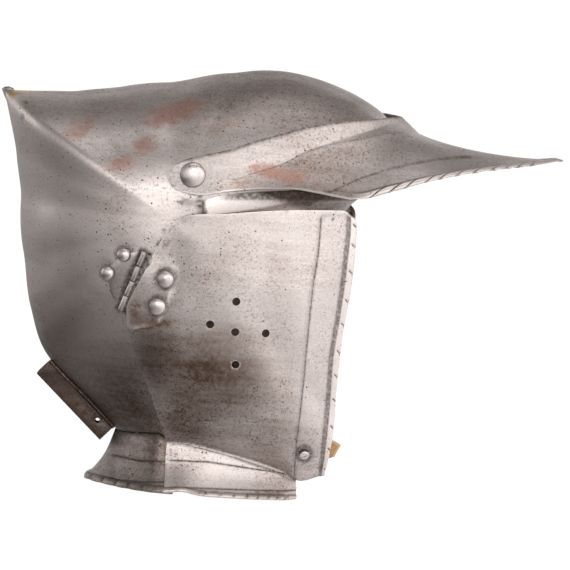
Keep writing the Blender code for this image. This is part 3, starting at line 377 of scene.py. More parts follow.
# How much brighter than clean steel rubbed steel and painted highlights are.
SHEEN_AND_WEAR_BRIGHTER = 1.45
BROKEN_LEATHER = (0.66, 0.46, 0.24)
DARK_LEATHER = (0.1, 0.05, 0.02)

WHITE = (1.0, 1.0, 1.0)
FLOOR_SHOWN = 1.12
FLOOR_SHOWN_SHARE = 0.88
LIT_POINT = (0.0, 0.0, 0.15)
# Soft boxes, in metres and watts: place, width, height, power
SOFT_BOXES = {
    "soft_front": ((1.5, -1.9, 2.0), 1.9, 1.5, 9.0),
    "soft_side": ((-0.1, -2.7, 0.9), 1.4, 1.0, 8.0),
    "soft_top": ((0.2, -0.3, 2.4), 2.0, 1.4, 8.0),
    "soft_rear": ((-2.4, 0.6, 0.7), 1.0, 1.2, 4.0),
}
FLOOR_SIZE = 60.0
CAMERA_TILT = math.radians(86.0)
SENSOR_WIDTH = 36.0
VIEW_CENTRE = (0.0637, -0.0763)


def millimetres(name, text, default, low, high):
    """A size in millimetres."""
    text = f"{text}, in millimetres"
    return bpy.props.FloatProperty(name=name, description=text, default=default, min=low, max=high)


def metres(name, text, default, low, high):
    """A length of the stage, shown in the scene's units."""
    return bpy.props.FloatProperty(
        name=name, description=text, default=default, min=low, max=high, unit="LENGTH"
    )


def colour(name, text, default):
    """A base colour."""
    return bpy.props.FloatVectorProperty(
        name=name, description=text, subtype="COLOR", size=3, default=default, min=0.0, max=1.0
    )


class PlateSizes(bpy.types.PropertyGroup):
    """Sizes of the worked plates."""

    grid_step: millimetres("Grid Step", "Spacing of the plates' points", 1.9, 1.0, 6.0)
    hammer_depth: millimetres("Hammer Depth", "How uneven the beaten plates are", 0.32, 0.0, 2.0)
    border_depth: millimetres("Border Depth", "How far the borders are sunk", 0.6, 0.0, 2.0)
    rope_height: millimetres("Rope Height", "How far the roped edges stand out", 1.7, 0.0, 3.0)
    notch_depth: millimetres("Notch Depth", "Depth of the notches in the roped edges", 1.2, 0.0, 2.0)


class SteelColours(bpy.types.PropertyGroup):
    """Colours of the worn metal and leather."""

    steel: colour("Steel", "Clean satin steel", (0.62, 0.55, 0.525))
    film: colour("Brown Film", "Thin brown film over steel", (0.31, 0.226, 0.186))
    red: colour("Red Film", "Reddish patches of old rust", (0.42, 0.21, 0.16))
    rust: colour("Rust", "Live brown rust", (0.12, 0.055, 0.03))
    # The stain colour also paints shade.
    stain_and_shade: colour("Stain", "Dark brown stains", (0.082, 0.05, 0.035))
    # The grime colour also paints shade in gaps, under the peak and round the rivets' bases.
    grime: colour("Grime", "Dirt in grooves and pits", (0.022, 0.012, 0.007))
    brass: colour("Brass", "Yellow brazing at the rear point", (0.62, 0.42, 0.16))
    leather: colour("Leather", "Dry tan leather", (0.42, 0.215, 0.07))


class StageSettings(bpy.types.PropertyGroup):
    """Floor and camera."""

    floor_colour: colour("Floor", "Colour of the floor", (0.86, 0.86, 0.86))
    lens_distance: metres("Camera Distance", "Distance of the camera from the helmet", 8.0, 1.0, 30.0)
    frame_width: metres("Frame Width", "Width of the view at the helmet", 0.399, 0.1, 2.0)


def smoothstep(x):
    """0 below 0, 1 above 1 and a smooth rise between."""
    x = np.clip(x, 0.0, 1.0)
    return x * x * (3.0 - 2.0 * x)


def bell(offset, width):
    """1 at no offset, falling smoothly to 0 over about twice the width."""
    return np.exp(-((offset / width) ** 2))


def rounded(distance, radius):
    """Height of a round bead of radius 1 whose middle lies one radius from an edge."""
    return np.sqrt(np.clip(1.0 - ((distance - radius) / radius) ** 2, 0.0, 1.0))


def cubic(s, start, end, start_slope, end_slope):
    """A cubic from start to end with the given slopes at its ends."""
    return (
        (2 * s**3 - 3 * s**2 + 1) * start
        + (s**3 - 2 * s**2 + s) * start_slope
        + (3 * s**2 - 2 * s**3) * end
        + (s**3 - s**2) * end_slope
    )


def smooth_table(rows):
    """A function through rows of (position, value) that keeps between neighbouring values."""
    xs, ys = np.array(rows, float).T
    h = np.diff(xs)
    d = np.diff(ys) / h
    m = np.zeros(len(xs))
    m[0], m[-1] = d[0], d[-1]
    for k in range(1, len(xs) - 1):
        if d[k - 1] * d[k] > 0:
            w1, w2 = 2 * h[k] + h[k - 1], h[k] + 2 * h[k - 1]
            m[k] = (w1 + w2) / (w1 / d[k - 1] + w2 / d[k])

    def value(x):
        x = np.asarray(x, float)
        k = np.clip(np.searchsorted(xs, x) - 1, 0, len(h) - 1)
        s = np.clip((x - xs[k]) / h[k], 0.0, 1.0)
        return cubic(s, ys[k], ys[k + 1], h[k] * m[k], h[k] * m[k + 1])

    return value


def curve_through(points, shares):
    """Points at the given shares of the length of the polyline through points, with rounded corners."""
    path = np.array(points, float)
    steps = np.linalg.norm(np.diff(path, axis=0), axis=1)
    along = np.concatenate(([0.0], np.cumsum(steps))) / steps.sum()
    slopes = np.gradient(path, along, axis=0)
    k = np.clip(np.searchsorted(along, shares) - 1, 0, len(along) - 2)
    h = (along[k + 1] - along[k])[:, None]
    s = (shares - along[k])[:, None] / h
    return cubic(s, path[k], path[k + 1], h * slopes[k], h * slopes[k + 1])


def polar(outline):
    """Angle in degrees and radius about the pole, of mid-plane points read as seen."""
    rows = []
    for x, seen_z in outline:
        dx = x - POLE[0]
        dz = seen_z - SIDE_REACH * VIEW_RISE - POLE[1]
        rows.append((math.degrees(math.atan2(dz, dx)) % 360.0, math.hypot(dx, dz)))
    if rows[0][0] > 350.0:
        rows = [(angle - 360.0 if angle > 350.0 else angle, radius) for angle, radius in rows]
    return rows


def station_curve(part, axis):
    """One coordinate of one line of the peak, as a function of the station."""
    return smooth_table([(k, row[part][axis]) for k, row in enumerate(PEAK_STATIONS)])


FRONT_ROWS = polar(BROW_TO_APEX)
REAR_ROWS = polar(APEX_TO_NECK)
FRONT_RADIUS = smooth_table(FRONT_ROWS)
REAR_RADIUS = smooth_table(REAR_ROWS + list(NECK_RADII))
CHEEK_RADIUS = smooth_table(CHEEK_RADII)
CHEEK_EVEN_RADIUS = smooth_table(CHEEK_EVEN_RADII)
BROW_ANGLE = FRONT_ROWS[0][0]
APEX_ANGLE = FRONT_ROWS[-1][0]
NECK_ANGLE = REAR_ROWS[-1][0]
NECK_POINT = APEX_TO_NECK[-1]
PEAK_LAST = len(PEAK_STATIONS) - 1
PEAK_UPPER, PEAK_FOLD, PEAK_RIM = ([station_curve(part, axis) for axis in (0, 1)] for part in (0, 1, 2))
PEAK_RIM_WIDTH = smooth_table([(k, row[3]) for k, row in enumerate(PEAK_STATIONS) if row[3] is not None])


def skull_radius(angle):
    """Radius of the bowl's outline about the pole."""
    angle = np.asarray(angle, float)
    front = FRONT_RADIUS(np.where(angle > BELOW_BROW, BROW_ANGLE, angle))
    return np.where((angle <= APEX_ANGLE) | (angle > BELOW_BROW), front, REAR_RADIUS(angle))


def around_pole(x, z):
    """Angle in degrees and distance about the pole."""
    dx, dz = x - POLE[0], z - POLE[1]
    return np.degrees(np.arctan2(dz, dx)) % 360.0, np.hypot(dx, dz)


def shell_width(reach, radius, grow):
    """Half-width of a shell at a distance from the pole, where its outline lies at a radius."""
    share = reach / (radius + grow)
    return (HALF_WIDTH + grow) * np.sqrt(np.maximum(0.0, 1.0 - share**SECTION_POWER))


def skull_width(x, z, grow=0.0):
    """Half-width of the bowl over a point of the mid-plane."""
    angle, reach = around_pole(x, z)
    return shell_width(reach, skull_radius(angle), grow)


def cheek_radius(angle, reach):
    """The outline's radius at the edges; the even one, without the chin's corner, over the middle."""
    edges = smoothstep((reach - CHEEK_EVEN_REACH) / CHEEK_EVEN_FADE)
    radius = CHEEK_EVEN_RADIUS(angle) * (1.0 - edges) + CHEEK_RADIUS(angle) * edges
    return np.where(angle > CHEEK_REAR_ANGLE, radius, skull_radius(angle))


def cheek_width(x, z, grow=0.0):
    """Half-width of the cheekpiece, which laps over the bowl."""
    angle, reach = around_pole(x, z)
    angle = np.where(angle < 180.0, angle + 360.0, angle)
    share = np.clip((angle - CHEEK_REAR_ANGLE) / CHEEK_LAP_SPAN, 0.0, 1.0)
    layer = LAYER * (1.0 + smoothstep(share) * smoothstep(reach / CHEEK_LAP_REACH))
    return shell_width(reach, cheek_radius(angle, reach), layer + grow)


def settle(x, seen_z, width_at):
    """The points of the right-hand surface that are seen at x, seen_z."""
    width = np.full(np.shape(x), SIDE_REACH)
    z = seen_z
    for _ in range(8):
        z = seen_z - (SIDE_REACH - width) * VIEW_RISE
        width = width_at(x, z)
    return np.stack([x, -width, z], axis=-1)


def seen(points):
    """Side-view position of points: x and the height they are seen at."""
    return points[..., 0], points[..., 2] + (SIDE_REACH - np.abs(points[..., 1])) * VIEW_RISE


def grid_normals(points):
    """Unit normals of a grid of points, outward from the upright middle line of the head."""
    normal = np.cross(np.gradient(points, axis=0), np.gradient(points, axis=1))
    normal = normal / np.maximum(np.linalg.norm(normal, axis=-1, keepdims=True), 1e-9)
    away = (points - HEAD_MIDDLE) * (1.0, 1.0, 0.0)
    return -normal if np.sum(normal * away) < 0.0 else normal


def line_height(x, line):
    """Height of a line of the side view at x."""
    xs, zs = zip(*line)
    return np.interp(x, xs, zs)


def line_x(z, line):
    """Where a line of the side view that runs down lies at height z."""
    xs, zs = zip(*reversed(line))
    return np.interp(z, zs, xs)


def line_fade(x, line, fade=6.0):
    """1 along a line and 0 past its ends."""
    return smoothstep((x - line[0][0] + fade) / fade) * smoothstep((line[-1][0] + fade - x) / fade)


def across_line(x, z, line, width=0.9):
    """0 above a line of the side view and 1 below it."""
    return smoothstep((line_height(x, line) - z) / width + 0.5)


def on_line(x, z, line, width=1.0):
    """1 on a line of the side view, falling to 0 beside it and past its ends."""
    return bell(z - line_height(x, line), width) * line_fade(x, line)


def worked_lines(x, z, lines):
    """Height of steps and grooves, and how dirty they are."""
    height = np.zeros(np.shape(x))
    dirt_and_shade = np.zeros(np.shape(x))
    for kind, depth, line in lines:
        step = kind == "step"
        height -= depth * (across_line(x, z, line) * line_fade(x, line) if step else on_line(x, z, line))
        dirt_and_shade = np.maximum(dirt_and_shade, on_line(x, z, line, STEP_DIRT if step else GROOVE_DIRT))
    return height, dirt_and_shade


def from_outline(x, z, outline):
    """Distance in the side view from a closed outline, negative inside it."""
    nearest = np.full(np.shape(x), 1e9)
    inside = np.zeros(np.shape(x), bool)
    for (ax, az), (bx, bz) in zip(outline, outline[1:] + outline[:1]):
        along = ((x - ax) * (bx - ax) + (z - az) * (bz - az)) / ((bx - ax) ** 2 + (bz - az) ** 2)
        along = np.clip(along, 0.0, 1.0)
        nearest = np.minimum(nearest, np.hypot(x - ax - along * (bx - ax), z - az - along * (bz - az)))
        crossing = (az > z) != (bz > z)
        inside ^= crossing & (x < (bx - ax) * (z - az) / (bz - az + 1e-12) + ax)
    return np.where(inside, -nearest, nearest)


def beside(x, z, line):
    """How far along a straight line of the side view points lie, as a share of it, and how far off it."""
    (ax, az), (bx, bz) = line
    dx, dz = bx - ax, bz - az
    length = math.hypot(dx, dz)
    return ((x - ax) * dx + (z - az) * dz) / length**2, ((x - ax) * dz - (z - az) * dx) / length


def from_spots(x, z, spots):
    """Distance in the side view from the nearest of a set of spots, each x, z and what else it has."""
    return np.minimum.reduce([np.hypot(x - spot[0], z - spot[1]) for spot in spots])


def marks(x, z, spots):
    """Strength of a set of soft oval marks over the side view."""
    found = np.zeros(np.shape(x))
    for cx, cz, long_half, short_half, turn, strength in spots:
        a = math.radians(turn)
        u = (x - cx) * math.cos(a) + (z - cz) * math.sin(a)
        v = -(x - cx) * math.sin(a) + (z - cz) * math.cos(a)
        reach = np.hypot(u / long_half, v / short_half)
        found = np.maximum(found, strength * np.clip(1.35 - 0.7 * reach, 0.0, 1.0))
    return found


def hammered(points, depth, seed=0.0):
    """Soft unevenness of beaten plate."""
    rough = []
    for x, y, z in points.reshape(-1, 3):
        broad = noise.noise((x / BROAD_DENT + seed, y / BROAD_DENT, z / BROAD_DENT))
        small = noise.noise((x / SMALL_DENT, y / SMALL_DENT + seed, z / SMALL_DENT))
        rough.append(broad + 0.4 * small)
    return depth * np.array(rough).reshape(points.shape[:2])


def deselect():
    for obj in bpy.context.selected_objects:
        obj.select_set(False)


def choose(obj):
    deselect()
    obj.select_set(True)
    bpy.context.view_layer.objects.active = obj


def made(name):
    """The object that a primitive has just made, under its name."""
    return rename(bpy.context.active_object, name)


def rename(obj, name):
    obj.name = name
    obj.data.name = name
    return obj


def apply_modifier(obj, kind, **settings):
    choose(obj)
    modifier = obj.modifiers.new(kind.lower(), kind)
    for key, value in settings.items():
        setattr(modifier, key, value)
    bpy.ops.object.modifier_apply(modifier=modifier.name)


def complete(obj):
    """Adds the left half to a sheet of the right one."""
    apply_modifier(obj, "MIRROR", use_axis=(False, True, False), use_clip=True, merge_threshold=0.0001)


def thicken(obj, thickness=WALL, **settings):
    """Gives a sheet its thickness, inward."""
    settings.update(thickness=thickness * MM, offset=-1.0, use_even_offset=False)
    apply_modifier(obj, "SOLIDIFY", **settings)


def cut_away(obj, tool):
    """Cuts a tool's shape out of an object, and removes the tool."""
    apply_modifier(obj, "BOOLEAN", operation="DIFFERENCE", solver="EXACT", object=tool)
    bpy.data.objects.remove(tool, do_unlink=True)


def edit_mesh(obj, *steps):
    """Runs editing steps on the whole of an object's mesh."""
    choose(obj)
    bpy.ops.object.mode_set(mode="EDIT")
    bpy.ops.mesh.select_all(action="SELECT")
    for step in steps:
        step()
    bpy.ops.object.mode_set(mode="OBJECT")


def merge(obj, distance):
    edit_mesh(obj, lambda: bpy.ops.mesh.remove_doubles(threshold=distance))


def join(objects, name):
    choose(objects[0])
    for obj in objects:
        obj.select_set(True)
    bpy.ops.object.join()
    return rename(objects[0], name)


def smooth(obj, angle=38.0):
    choose(obj)
    bpy.ops.object.shade_smooth_by_angle(angle=math.radians(angle))


def own_copy(obj, name):
    """A copy with its own mesh."""
    copy = obj.copy()
    copy.data = obj.data.copy()
    bpy.context.collection.objects.link(copy)
    return rename(copy, name)


def mirror(obj):
    """Turns a right-hand piece into a left-hand one."""
    obj.data.transform(Matrix.Scale(-1.0, 4, (0.0, 1.0, 0.0)))
    obj.data.flip_normals()
    return obj


def dress(obj, material, body, slot, *nodes):
    """Gives a finished piece its material, its body and the nodes it stands for."""
    obj.data.materials.clear()
    obj.data.materials.append(material)
    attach(obj, body)
    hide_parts(*nodes)


def to_row(points):
    """Helmet millimetres to metres in the row frame."""
    flat = np.asarray(points, float).reshape(-1, 3)
    return flat @ np.array(REST.to_3x3()).T * MM + np.array(REST.translation)


def add_mask(obj, name, value_at):
    """Gives each point of a mesh the value of a function of its place."""
    attribute = obj.data.attributes.get(name) or obj.data.attributes.new(name, "FLOAT", "POINT")
    for vertex in obj.data.vertices:
        attribute.data[vertex.index].value = value_at(vertex.co)


def face_away(obj):
    """Turns a sheet's faces away from the middle of the head."""
    middle = Vector(to_row(HEAD_MIDDLE)[0])
    outward = sum((face.center - middle).dot(face.normal) * face.area for face in obj.data.polygons)
    if outward < 0.0:
        obj.data.flip_normals()


def plate(name, points, masks):
    """A grid primitive laid over a grid of helmet points, with its masks as point attributes."""
    rows, columns = points.shape[:2]
    deselect()
    bpy.ops.mesh.primitive_grid_add(x_subdivisions=columns - 1, y_subdivisions=rows - 1, size=2.0)
    obj = made(name)
    flat = np.empty(rows * columns * 3)
    obj.data.vertices.foreach_get("co", flat)
    flat = flat.reshape(-1, 3)
    column = np.rint((flat[:, 0] + 1.0) / 2.0 * (columns - 1)).astype(int)
    row = np.rint((1.0 - flat[:, 1]) / 2.0 * (rows - 1)).astype(int)
    obj.data.vertices.foreach_set("co", to_row(points[row, column]).ravel())
    for key, mask in masks.items():
        attribute = obj.data.attributes.new(key, "FLOAT", "POINT")
        attribute.data.foreach_set("value", np.asarray(mask, float)[row, column].astype(np.float32))
    while obj.data.uv_layers:
        obj.data.uv_layers.remove(obj.data.uv_layers[0])
    obj.data.update()
    face_away(obj)
    return obj


def clustered(start, end, step, features, spread):
    """Positions from start to end, with a close group around each feature."""
    count = max(2, int(round(abs(end - start) / step)))
    even = np.linspace(start, end, count + 1)
    near = [f + s for f in features for s in spread if min(start, end) < f + s < max(start, end)]
    far = [e for e in even[1:-1] if all(abs(e - f) > max(spread) + 0.3 * step for f in features)]
    return np.array(sorted([start, end, *near, *far], reverse=end < start))


class Wiring:
    """Adds nodes to a tree and links them."""

    def __init__(self, tree):
        self.tree = tree

    def add(self, kind, **settings):
        node = self.tree.nodes.new(kind)
        for key, value in settings.items():
            setattr(node, key, value)
        return node

    def link(self, source, target):
        self.tree.links.new(source, target)

    def feed(self, socket, value):
        """Links another socket, or sets a constant."""
        if isinstance(value, bpy.types.NodeSocket):
            self.link(value, socket)
        elif socket.type == "RGBA":
            socket.default_value = (*value, 1.0)
        else:
            socket.default_value = value

    def fill(self, node, **values):
        for key, value in values.items():
            self.feed(node.inputs[key], value)
        return node

    def math(self, operation, *values, clamp=False):
        node = self.add("ShaderNodeMath", operation=operation, use_clamp=clamp)
        for socket, value in zip(node.inputs, values):
            self.feed(socket, value)
        return node.outputs[0]

    def plus(self, first, second, clamp=False):
        return self.math("ADD", first, second, clamp=clamp)

    def minus(self, first, second, clamp=False):
        return self.math("SUBTRACT", first, second, clamp=clamp)

    def times(self, first, second, clamp=False):
        return self.math("MULTIPLY", first, second, clamp=clamp)

    def spread(self, value, low, high, to_low=0.0, to_high=1.0):
        """Remaps low..high to to_low..to_high, held at the ends."""
        node = self.add("ShaderNodeMapRange")
        for socket, given in zip(node.inputs, (value, low, high, to_low, to_high)):
            self.feed(socket, given)
        return node.outputs[0]

    def blend(self, share, first, second, mode="MIX"):
        node = self.add("ShaderNodeMix", data_type="RGBA", blend_type=mode)
        sockets = node.inputs["Factor"], node.inputs[6], node.inputs[7]
        for socket, value in zip(sockets, (share, first, second)):
            self.feed(socket, value)
        return node.outputs[2]

    def place(self, scale=(1.0, 1.0, 1.0), turn=0.0):
        """Object coordinates, turned about Y by some degrees and stretched."""
        mapping = self.add("ShaderNodeMapping")
        self.link(self.add("ShaderNodeTexCoord").outputs["Object"], mapping.inputs["Vector"])
        mapping.inputs["Rotation"].default_value = (0.0, math.radians(turn), 0.0)
        mapping.inputs["Scale"].default_value = scale
        return mapping.outputs[0]

    def noise(self, where, scale, detail=4.0, roughness=0.55, distortion=0.0):
        node = self.add("ShaderNodeTexNoise")
        self.fill(node, Vector=where, Scale=scale, Detail=detail, Roughness=roughness, Distortion=distortion)
        return node.outputs[0]

    def mix(self, share, first, second):
        """Mixes two shaders."""
        node = self.add("ShaderNodeMixShader")
        for socket, value in zip(node.inputs, (share, first.outputs[0], second.outputs[0])):
            self.feed(socket, value)
        return node

    def mask(self, name):
        node = self.add("ShaderNodeAttribute", attribute_type="GEOMETRY", attribute_name=name)
        return node.outputs["Fac"]

    def bump(self, height, strength, distance, below=None):
        node = self.fill(self.add("ShaderNodeBump"), Height=height, Strength=strength, Distance=distance)
        if below is not None:
            self.link(below, node.inputs["Normal"])
        return node.outputs[0]

    def group(self, build, **values):
        """Places a shared group, which its function builds the first time."""
        tree = bpy.data.node_groups.get(build.__name__) or build()
        return self.fill(self.add("ShaderNodeGroup", node_tree=tree), **values).outputs


def new_group(name, inputs, outputs):
    """A shader group of float sockets, with its wiring, its inputs' sockets and its outputs' sockets."""
    group = bpy.data.node_groups.new(name, "ShaderNodeTree")
    for key, default in inputs.items():
        socket = group.interface.new_socket(name=key, in_out="INPUT", socket_type="NodeSocketFloat")
        socket.default_value = default
    for key in outputs:
        group.interface.new_socket(name=key, in_out="OUTPUT", socket_type="NodeSocketFloat")
    source, sink = group.nodes.new("NodeGroupInput"), group.nodes.new("NodeGroupOutput")
    return group, Wiring(group), source.outputs, sink.inputs


def new_material(name):
    """A material with its wiring and its shader."""
    material = bpy.data.materials.new(name)
    material.use_nodes = True
    return material, Wiring(material.node_tree), material.node_tree.nodes["Principled BSDF"]


def polishing_scratches():
    """Fine parallel scratches left by polishing, and longer stray ones."""
    group, w, given, sink = new_group("polishing_scratches", {"Contrast": 1.0}, ("Tone", "Height"))
    fine = w.noise(w.place((22.0, 60.0, 900.0), -3.0), 1.0, 3.0, 0.6)
    broad = w.noise(w.place((9.0, 30.0, 240.0), 2.0), 1.0, 4.0, 0.6)
    stray = w.noise(w.place((120.0, 80.0, 14.0), 24.0), 1.0, 2.0, 0.5, 0.4)
    both = w.plus(w.times(fine, 0.6), w.times(broad, 0.4))
    stray_mark = w.spread(stray, 0.66, 0.72)
    grain = w.times(w.minus(w.noise(w.place(), 800.0, 4.0, 0.75), 0.5), 0.85)
    tone = w.plus(w.times(w.minus(both, 0.5), given["Contrast"]), grain)
    w.link(w.minus(tone, w.times(stray_mark, 0.05)), sink["Tone"])
    w.link(w.minus(both, w.times(stray_mark, 0.3)), sink["Height"])
    return group


def corrosion_pits():
    """Small dark corrosion pits in drifts."""
    group, w, given, sink = new_group("corrosion_pits", {"Amount": 0.3}, ("Mask", "Height"))
    where = w.place()
    drift = w.noise(where, 22.0, 3.0)
    masks = []
    for scale, radius in PIT_SIZES:
        cells = w.fill(w.add("ShaderNodeTexVoronoi", feature="F1"), Vector=where, Scale=scale)
        split = w.fill(w.add("ShaderNodeSeparateColor"), Color=cells.outputs["Color"])
        chance = w.plus(given["Amount"], w.spread(drift, 0.45, 0.75, -0.12, 0.3))
        chosen = w.math("LESS_THAN", split.outputs[0], chance)
        reach = w.times(split.outputs[1], radius)
        hole = w.spread(w.minus(cells.outputs["Distance"], reach), -0.06, 0.05, 1.0, 0.0)
        masks.append(w.times(hole, chosen))
    pit = w.math("MAXIMUM", *masks)
    w.link(pit, sink["Mask"])
    w.link(w.times(pit, -1.0), sink["Height"])
    return group


def brown_clouds():
    """Clouds of brown film over polished steel, streaked along the polish."""
    group, w, given, sink = new_group("brown_clouds", {"Amount": 0.4}, ("Mask", "Tone"))
    cloud = w.noise(w.place((14.0, 14.0, 20.0)), 1.0, 6.0, 0.62, 0.3)
    streak = w.noise(w.place((16.0, 30.0, 130.0)), 1.0, 5.0, 0.62, 0.2)
    speck = w.noise(w.place(), 260.0, 4.0, 0.7)
    level = w.plus(w.times(cloud, 0.6), w.times(streak, 0.4))
    low = w.minus(0.74, w.times(given["Amount"], 0.42))
    soft = w.spread(w.minus(level, low), -0.12, 0.22)
    grain = w.spread(speck, 0.35, 0.65, 0.6, 1.15)
    fleck = w.noise(w.place((1.0, 1.0, 1.3)), 520.0, 4.0, 0.7)
    drift = w.noise(w.place(), 26.0, 3.0, 0.6)
    flecks = w.times(w.spread(fleck, 0.53, 0.66, 0.0, 0.95), w.spread(drift, 0.38, 0.62, 0.25, 1.0))
    w.link(w.plus(w.times(soft, grain), flecks, clamp=True), sink["Mask"])
    w.link(w.minus(cloud, 0.5), sink["Tone"])
    return group


def ragged_edge():
    """Breaks up a soft mask into ragged patches."""
    group, w, given, sink = new_group("ragged_edge", {"Mask": 0.0, "Grain": 60.0}, ("Mask",))
    rough = w.noise(w.place((1.0, 1.0, 1.6)), given["Grain"], 6.0, 0.66, 0.2)
    level = w.plus(given["Mask"], w.times(w.minus(rough, 0.5), 1.5))
    w.link(w.times(w.spread(level, 0.42, 0.85), w.spread(given["Mask"], 0.0, 0.18)), sink["Mask"])
    return group


def steel(name):
    """Worn satin steel; it reads the masks stain, red, rust, dirt, wear, brass and pits of a plate. The
    stain and dirt masks also carry painted shade, and the wear mask carries painted highlights and painted
    light.
    """
    tone, film, pits, rough, contrast, scratch_bump = STEELS[name]
    c = bpy.context.scene.burgonet_colours
    material, w, shader = new_material(name)
    stain_and_shade, wear_and_sheen = w.mask("stain_and_shade"), w.mask("wear_and_sheen")
    scratches = w.group(polishing_scratches, Contrast=contrast)
    clouds = w.group(brown_clouds, Amount=w.plus(film, w.times(stain_and_shade, 0.5)))
    holes = w.group(corrosion_pits, Amount=w.plus(pits, w.times(w.mask("pits"), 0.35)))
    patches = {}
    for key, grain in PATCH_GRAINS.items():
        patches[key] = w.group(ragged_edge, Mask=w.mask(key), Grain=grain)["Mask"]
    colour = w.blend(clouds["Mask"], tuple(v * tone for v in c.steel), tuple(v * tone for v in c.film))
    # Darkens towards the stain colour: brown stains, and painted shade where a plate lies in shade.
    stained = w.times(stain_and_shade, w.spread(clouds["Mask"], 0.0, 1.0, 0.6, 1.05), clamp=True)
    colour = w.blend(stained, colour, c.stain_and_shade)
    colour = w.blend(w.times(patches["red"], 0.7), colour, c.red)
    level = w.plus(1.0, w.plus(scratches["Tone"], w.times(clouds["Tone"], 0.5)))
    shade = w.add("ShaderNodeCombineColor")
    for socket in shade.inputs[:3]:
        w.link(level, socket)
    colour = w.blend(1.0, colour, shade.outputs[0], "MULTIPLY")
    # Brightens where steel is rubbed, and where a painted highlight or painted light lies.
    colour = w.blend(w.times(wear_and_sheen, 0.7), colour, tuple(min(1.0, v * SHEEN_AND_WEAR_BRIGHTER) for v in c.steel))
    colour = w.blend(w.times(patches["brass"], 0.85), colour, c.brass)
    colour = w.blend(w.times(patches["rust"], 0.85), colour, c.rust)
    # Blackens with dirt and pits, and with painted shade in gaps, under the peak and round the rivets'
    # bases.
    dirt_and_shade = w.times(w.mask("dirt_and_shade"), w.spread(w.noise(w.place(), 420.0, 3.0), 0.3, 0.6, 0.5, 1.0))
    dark = w.math("MAXIMUM", w.times(dirt_and_shade, 0.92), w.times(holes["Mask"], 0.85))
    w.link(w.blend(dark, colour, c.grime), shader.inputs["Base Color"])
    oxide = w.math("MAXIMUM", w.times(patches["rust"], 0.9), w.times(dark, 0.8))
    w.link(w.spread(oxide, 0.0, 1.0, 1.0, 0.5), shader.inputs["Metallic"])
    roughness = w.plus(rough, w.times(clouds["Mask"], 0.16))
    roughness = w.plus(roughness, w.times(patches["red"], 0.1))
    roughness = w.plus(roughness, w.times(oxide, 0.35))
    w.link(w.minus(roughness, w.times(wear_and_sheen, 0.06), clamp=True), shader.inputs["Roughness"])
    fine = w.bump(scratches["Height"], scratch_bump, 0.0002)
    relief = w.plus(holes["Height"], w.times(w.noise(w.place(), 90.0, 5.0, 0.6), 0.35))
    w.link(w.bump(relief, 0.3, 0.0005, fine), shader.inputs["Normal"])
    return material


def tan_leather():
    """Dry torn leather with a paler broken edge."""
    leather = bpy.context.scene.burgonet_colours.leather
    material, w, shader = new_material("tan_leather")
    grain = w.noise(w.place(), 900.0, 5.0, 0.65)
    cloud = w.noise(w.place(), 120.0, 4.0)
    colour = w.blend(w.spread(cloud, 0.35, 0.7), leather, tuple(v * 0.45 for v in leather))
    colour = w.blend(w.times(w.mask("wear_and_sheen"), 0.6), colour, BROKEN_LEATHER)
    colour = w.blend(w.spread(grain, 0.6, 0.75, 0.0, 0.5), colour, DARK_LEATHER)
    w.link(colour, shader.inputs["Base Color"])
    w.link(w.spread(grain, 0.3, 0.7, 0.6, 0.85), shader.inputs["Roughness"])
    w.link(w.bump(grain, 0.5, 0.0004), shader.inputs["Normal"])
    return material


def keel_drop(angle, width):
    """How far the bowl falls away beside its keel."""
    share = np.clip((angle - KEEL_START) / KEEL_SPAN, 0.0, 1.0)
    drop = KEEL_HEIGHT * share * np.minimum(width / KEEL_WIDTH, 1.0)
    return np.where(angle > APEX_ANGLE, 0.0, drop)


def neck_share(angle):
    """How far out each row of the bowl runs before it meets the neck line."""
    progress = (angle - NECK_ANGLE) / (NECK_END_ANGLE - NECK_ANGLE)
    neck_z = NECK_POINT[1] - SIDE_REACH * VIEW_RISE - POLE[1]
    rise = line_height(progress, NECK_LINE)
    sine = np.sin(np.radians(np.maximum(angle, NECK_ANGLE)))
    share = (neck_z + rise) / (sine * skull_radius(angle))
    return np.where(angle <= NECK_ANGLE, 1.0, np.minimum(1.0, share))


def skull_grid(step):
    """The right half of the bowl: rows of one angle about the pole, columns from the pole outward."""
    front = np.linspace(BROW_ANGLE, APEX_ANGLE, int(FRONT_LENGTH / step))
    back = np.linspace(APEX_ANGLE, NECK_ANGLE, int(BACK_LENGTH / step))
    neck = NECK_ANGLE + (NECK_END_ANGLE - NECK_ANGLE) * np.linspace(0, 1, int(NECK_LENGTH / step)) ** 2
    angle = np.concatenate([front, back[1:], neck[1:]])[:, None]
    outward = np.concatenate([POLE_RINGS, np.linspace(0.036, 1.0, int(ROW_LENGTH / step))])
    turn = np.arcsin(neck_share(angle) ** (SECTION_POWER / 2)) * outward
    share = np.sin(turn) ** (2 / SECTION_POWER)
    on_keel = turn > KEEL_TURN
    reach = share * skull_radius(angle)
    at_brow = np.maximum(0.0, 1.0 - (angle - BROW_ANGLE) / BROW_SPAN)
    bent = angle - FRONT_DIP * at_brow * np.maximum(0.0, 1.0 - reach / DIP_REACH)
    progress = np.clip((angle - BEND_START) / (NECK_END_ANGLE - BEND_START), 0.0, 1.0)
    edge = smooth_table(SKULL_EDGE)
    bent = bent + (edge(reach) - NECK_END_ANGLE) * progress**2 * (1 - share**6)
    width = np.where(on_keel, 0.0, HALF_WIDTH * np.cos(turn) - BROW_SINK * at_brow * share)
    radius = reach - (keel_drop(angle, width) + BROW_SINK * at_brow) * share
    radians = np.radians(bent)
    x, z = POLE[0] + radius * np.cos(radians), POLE[1] + radius * np.sin(radians)
    width = np.where((angle > BEND_START) & ~on_keel, skull_width(x, z), width)
    points = np.stack([x, -width, z], axis=-1)
    ease_ridge(points, len(front) - 1)
    return points, len(neck)


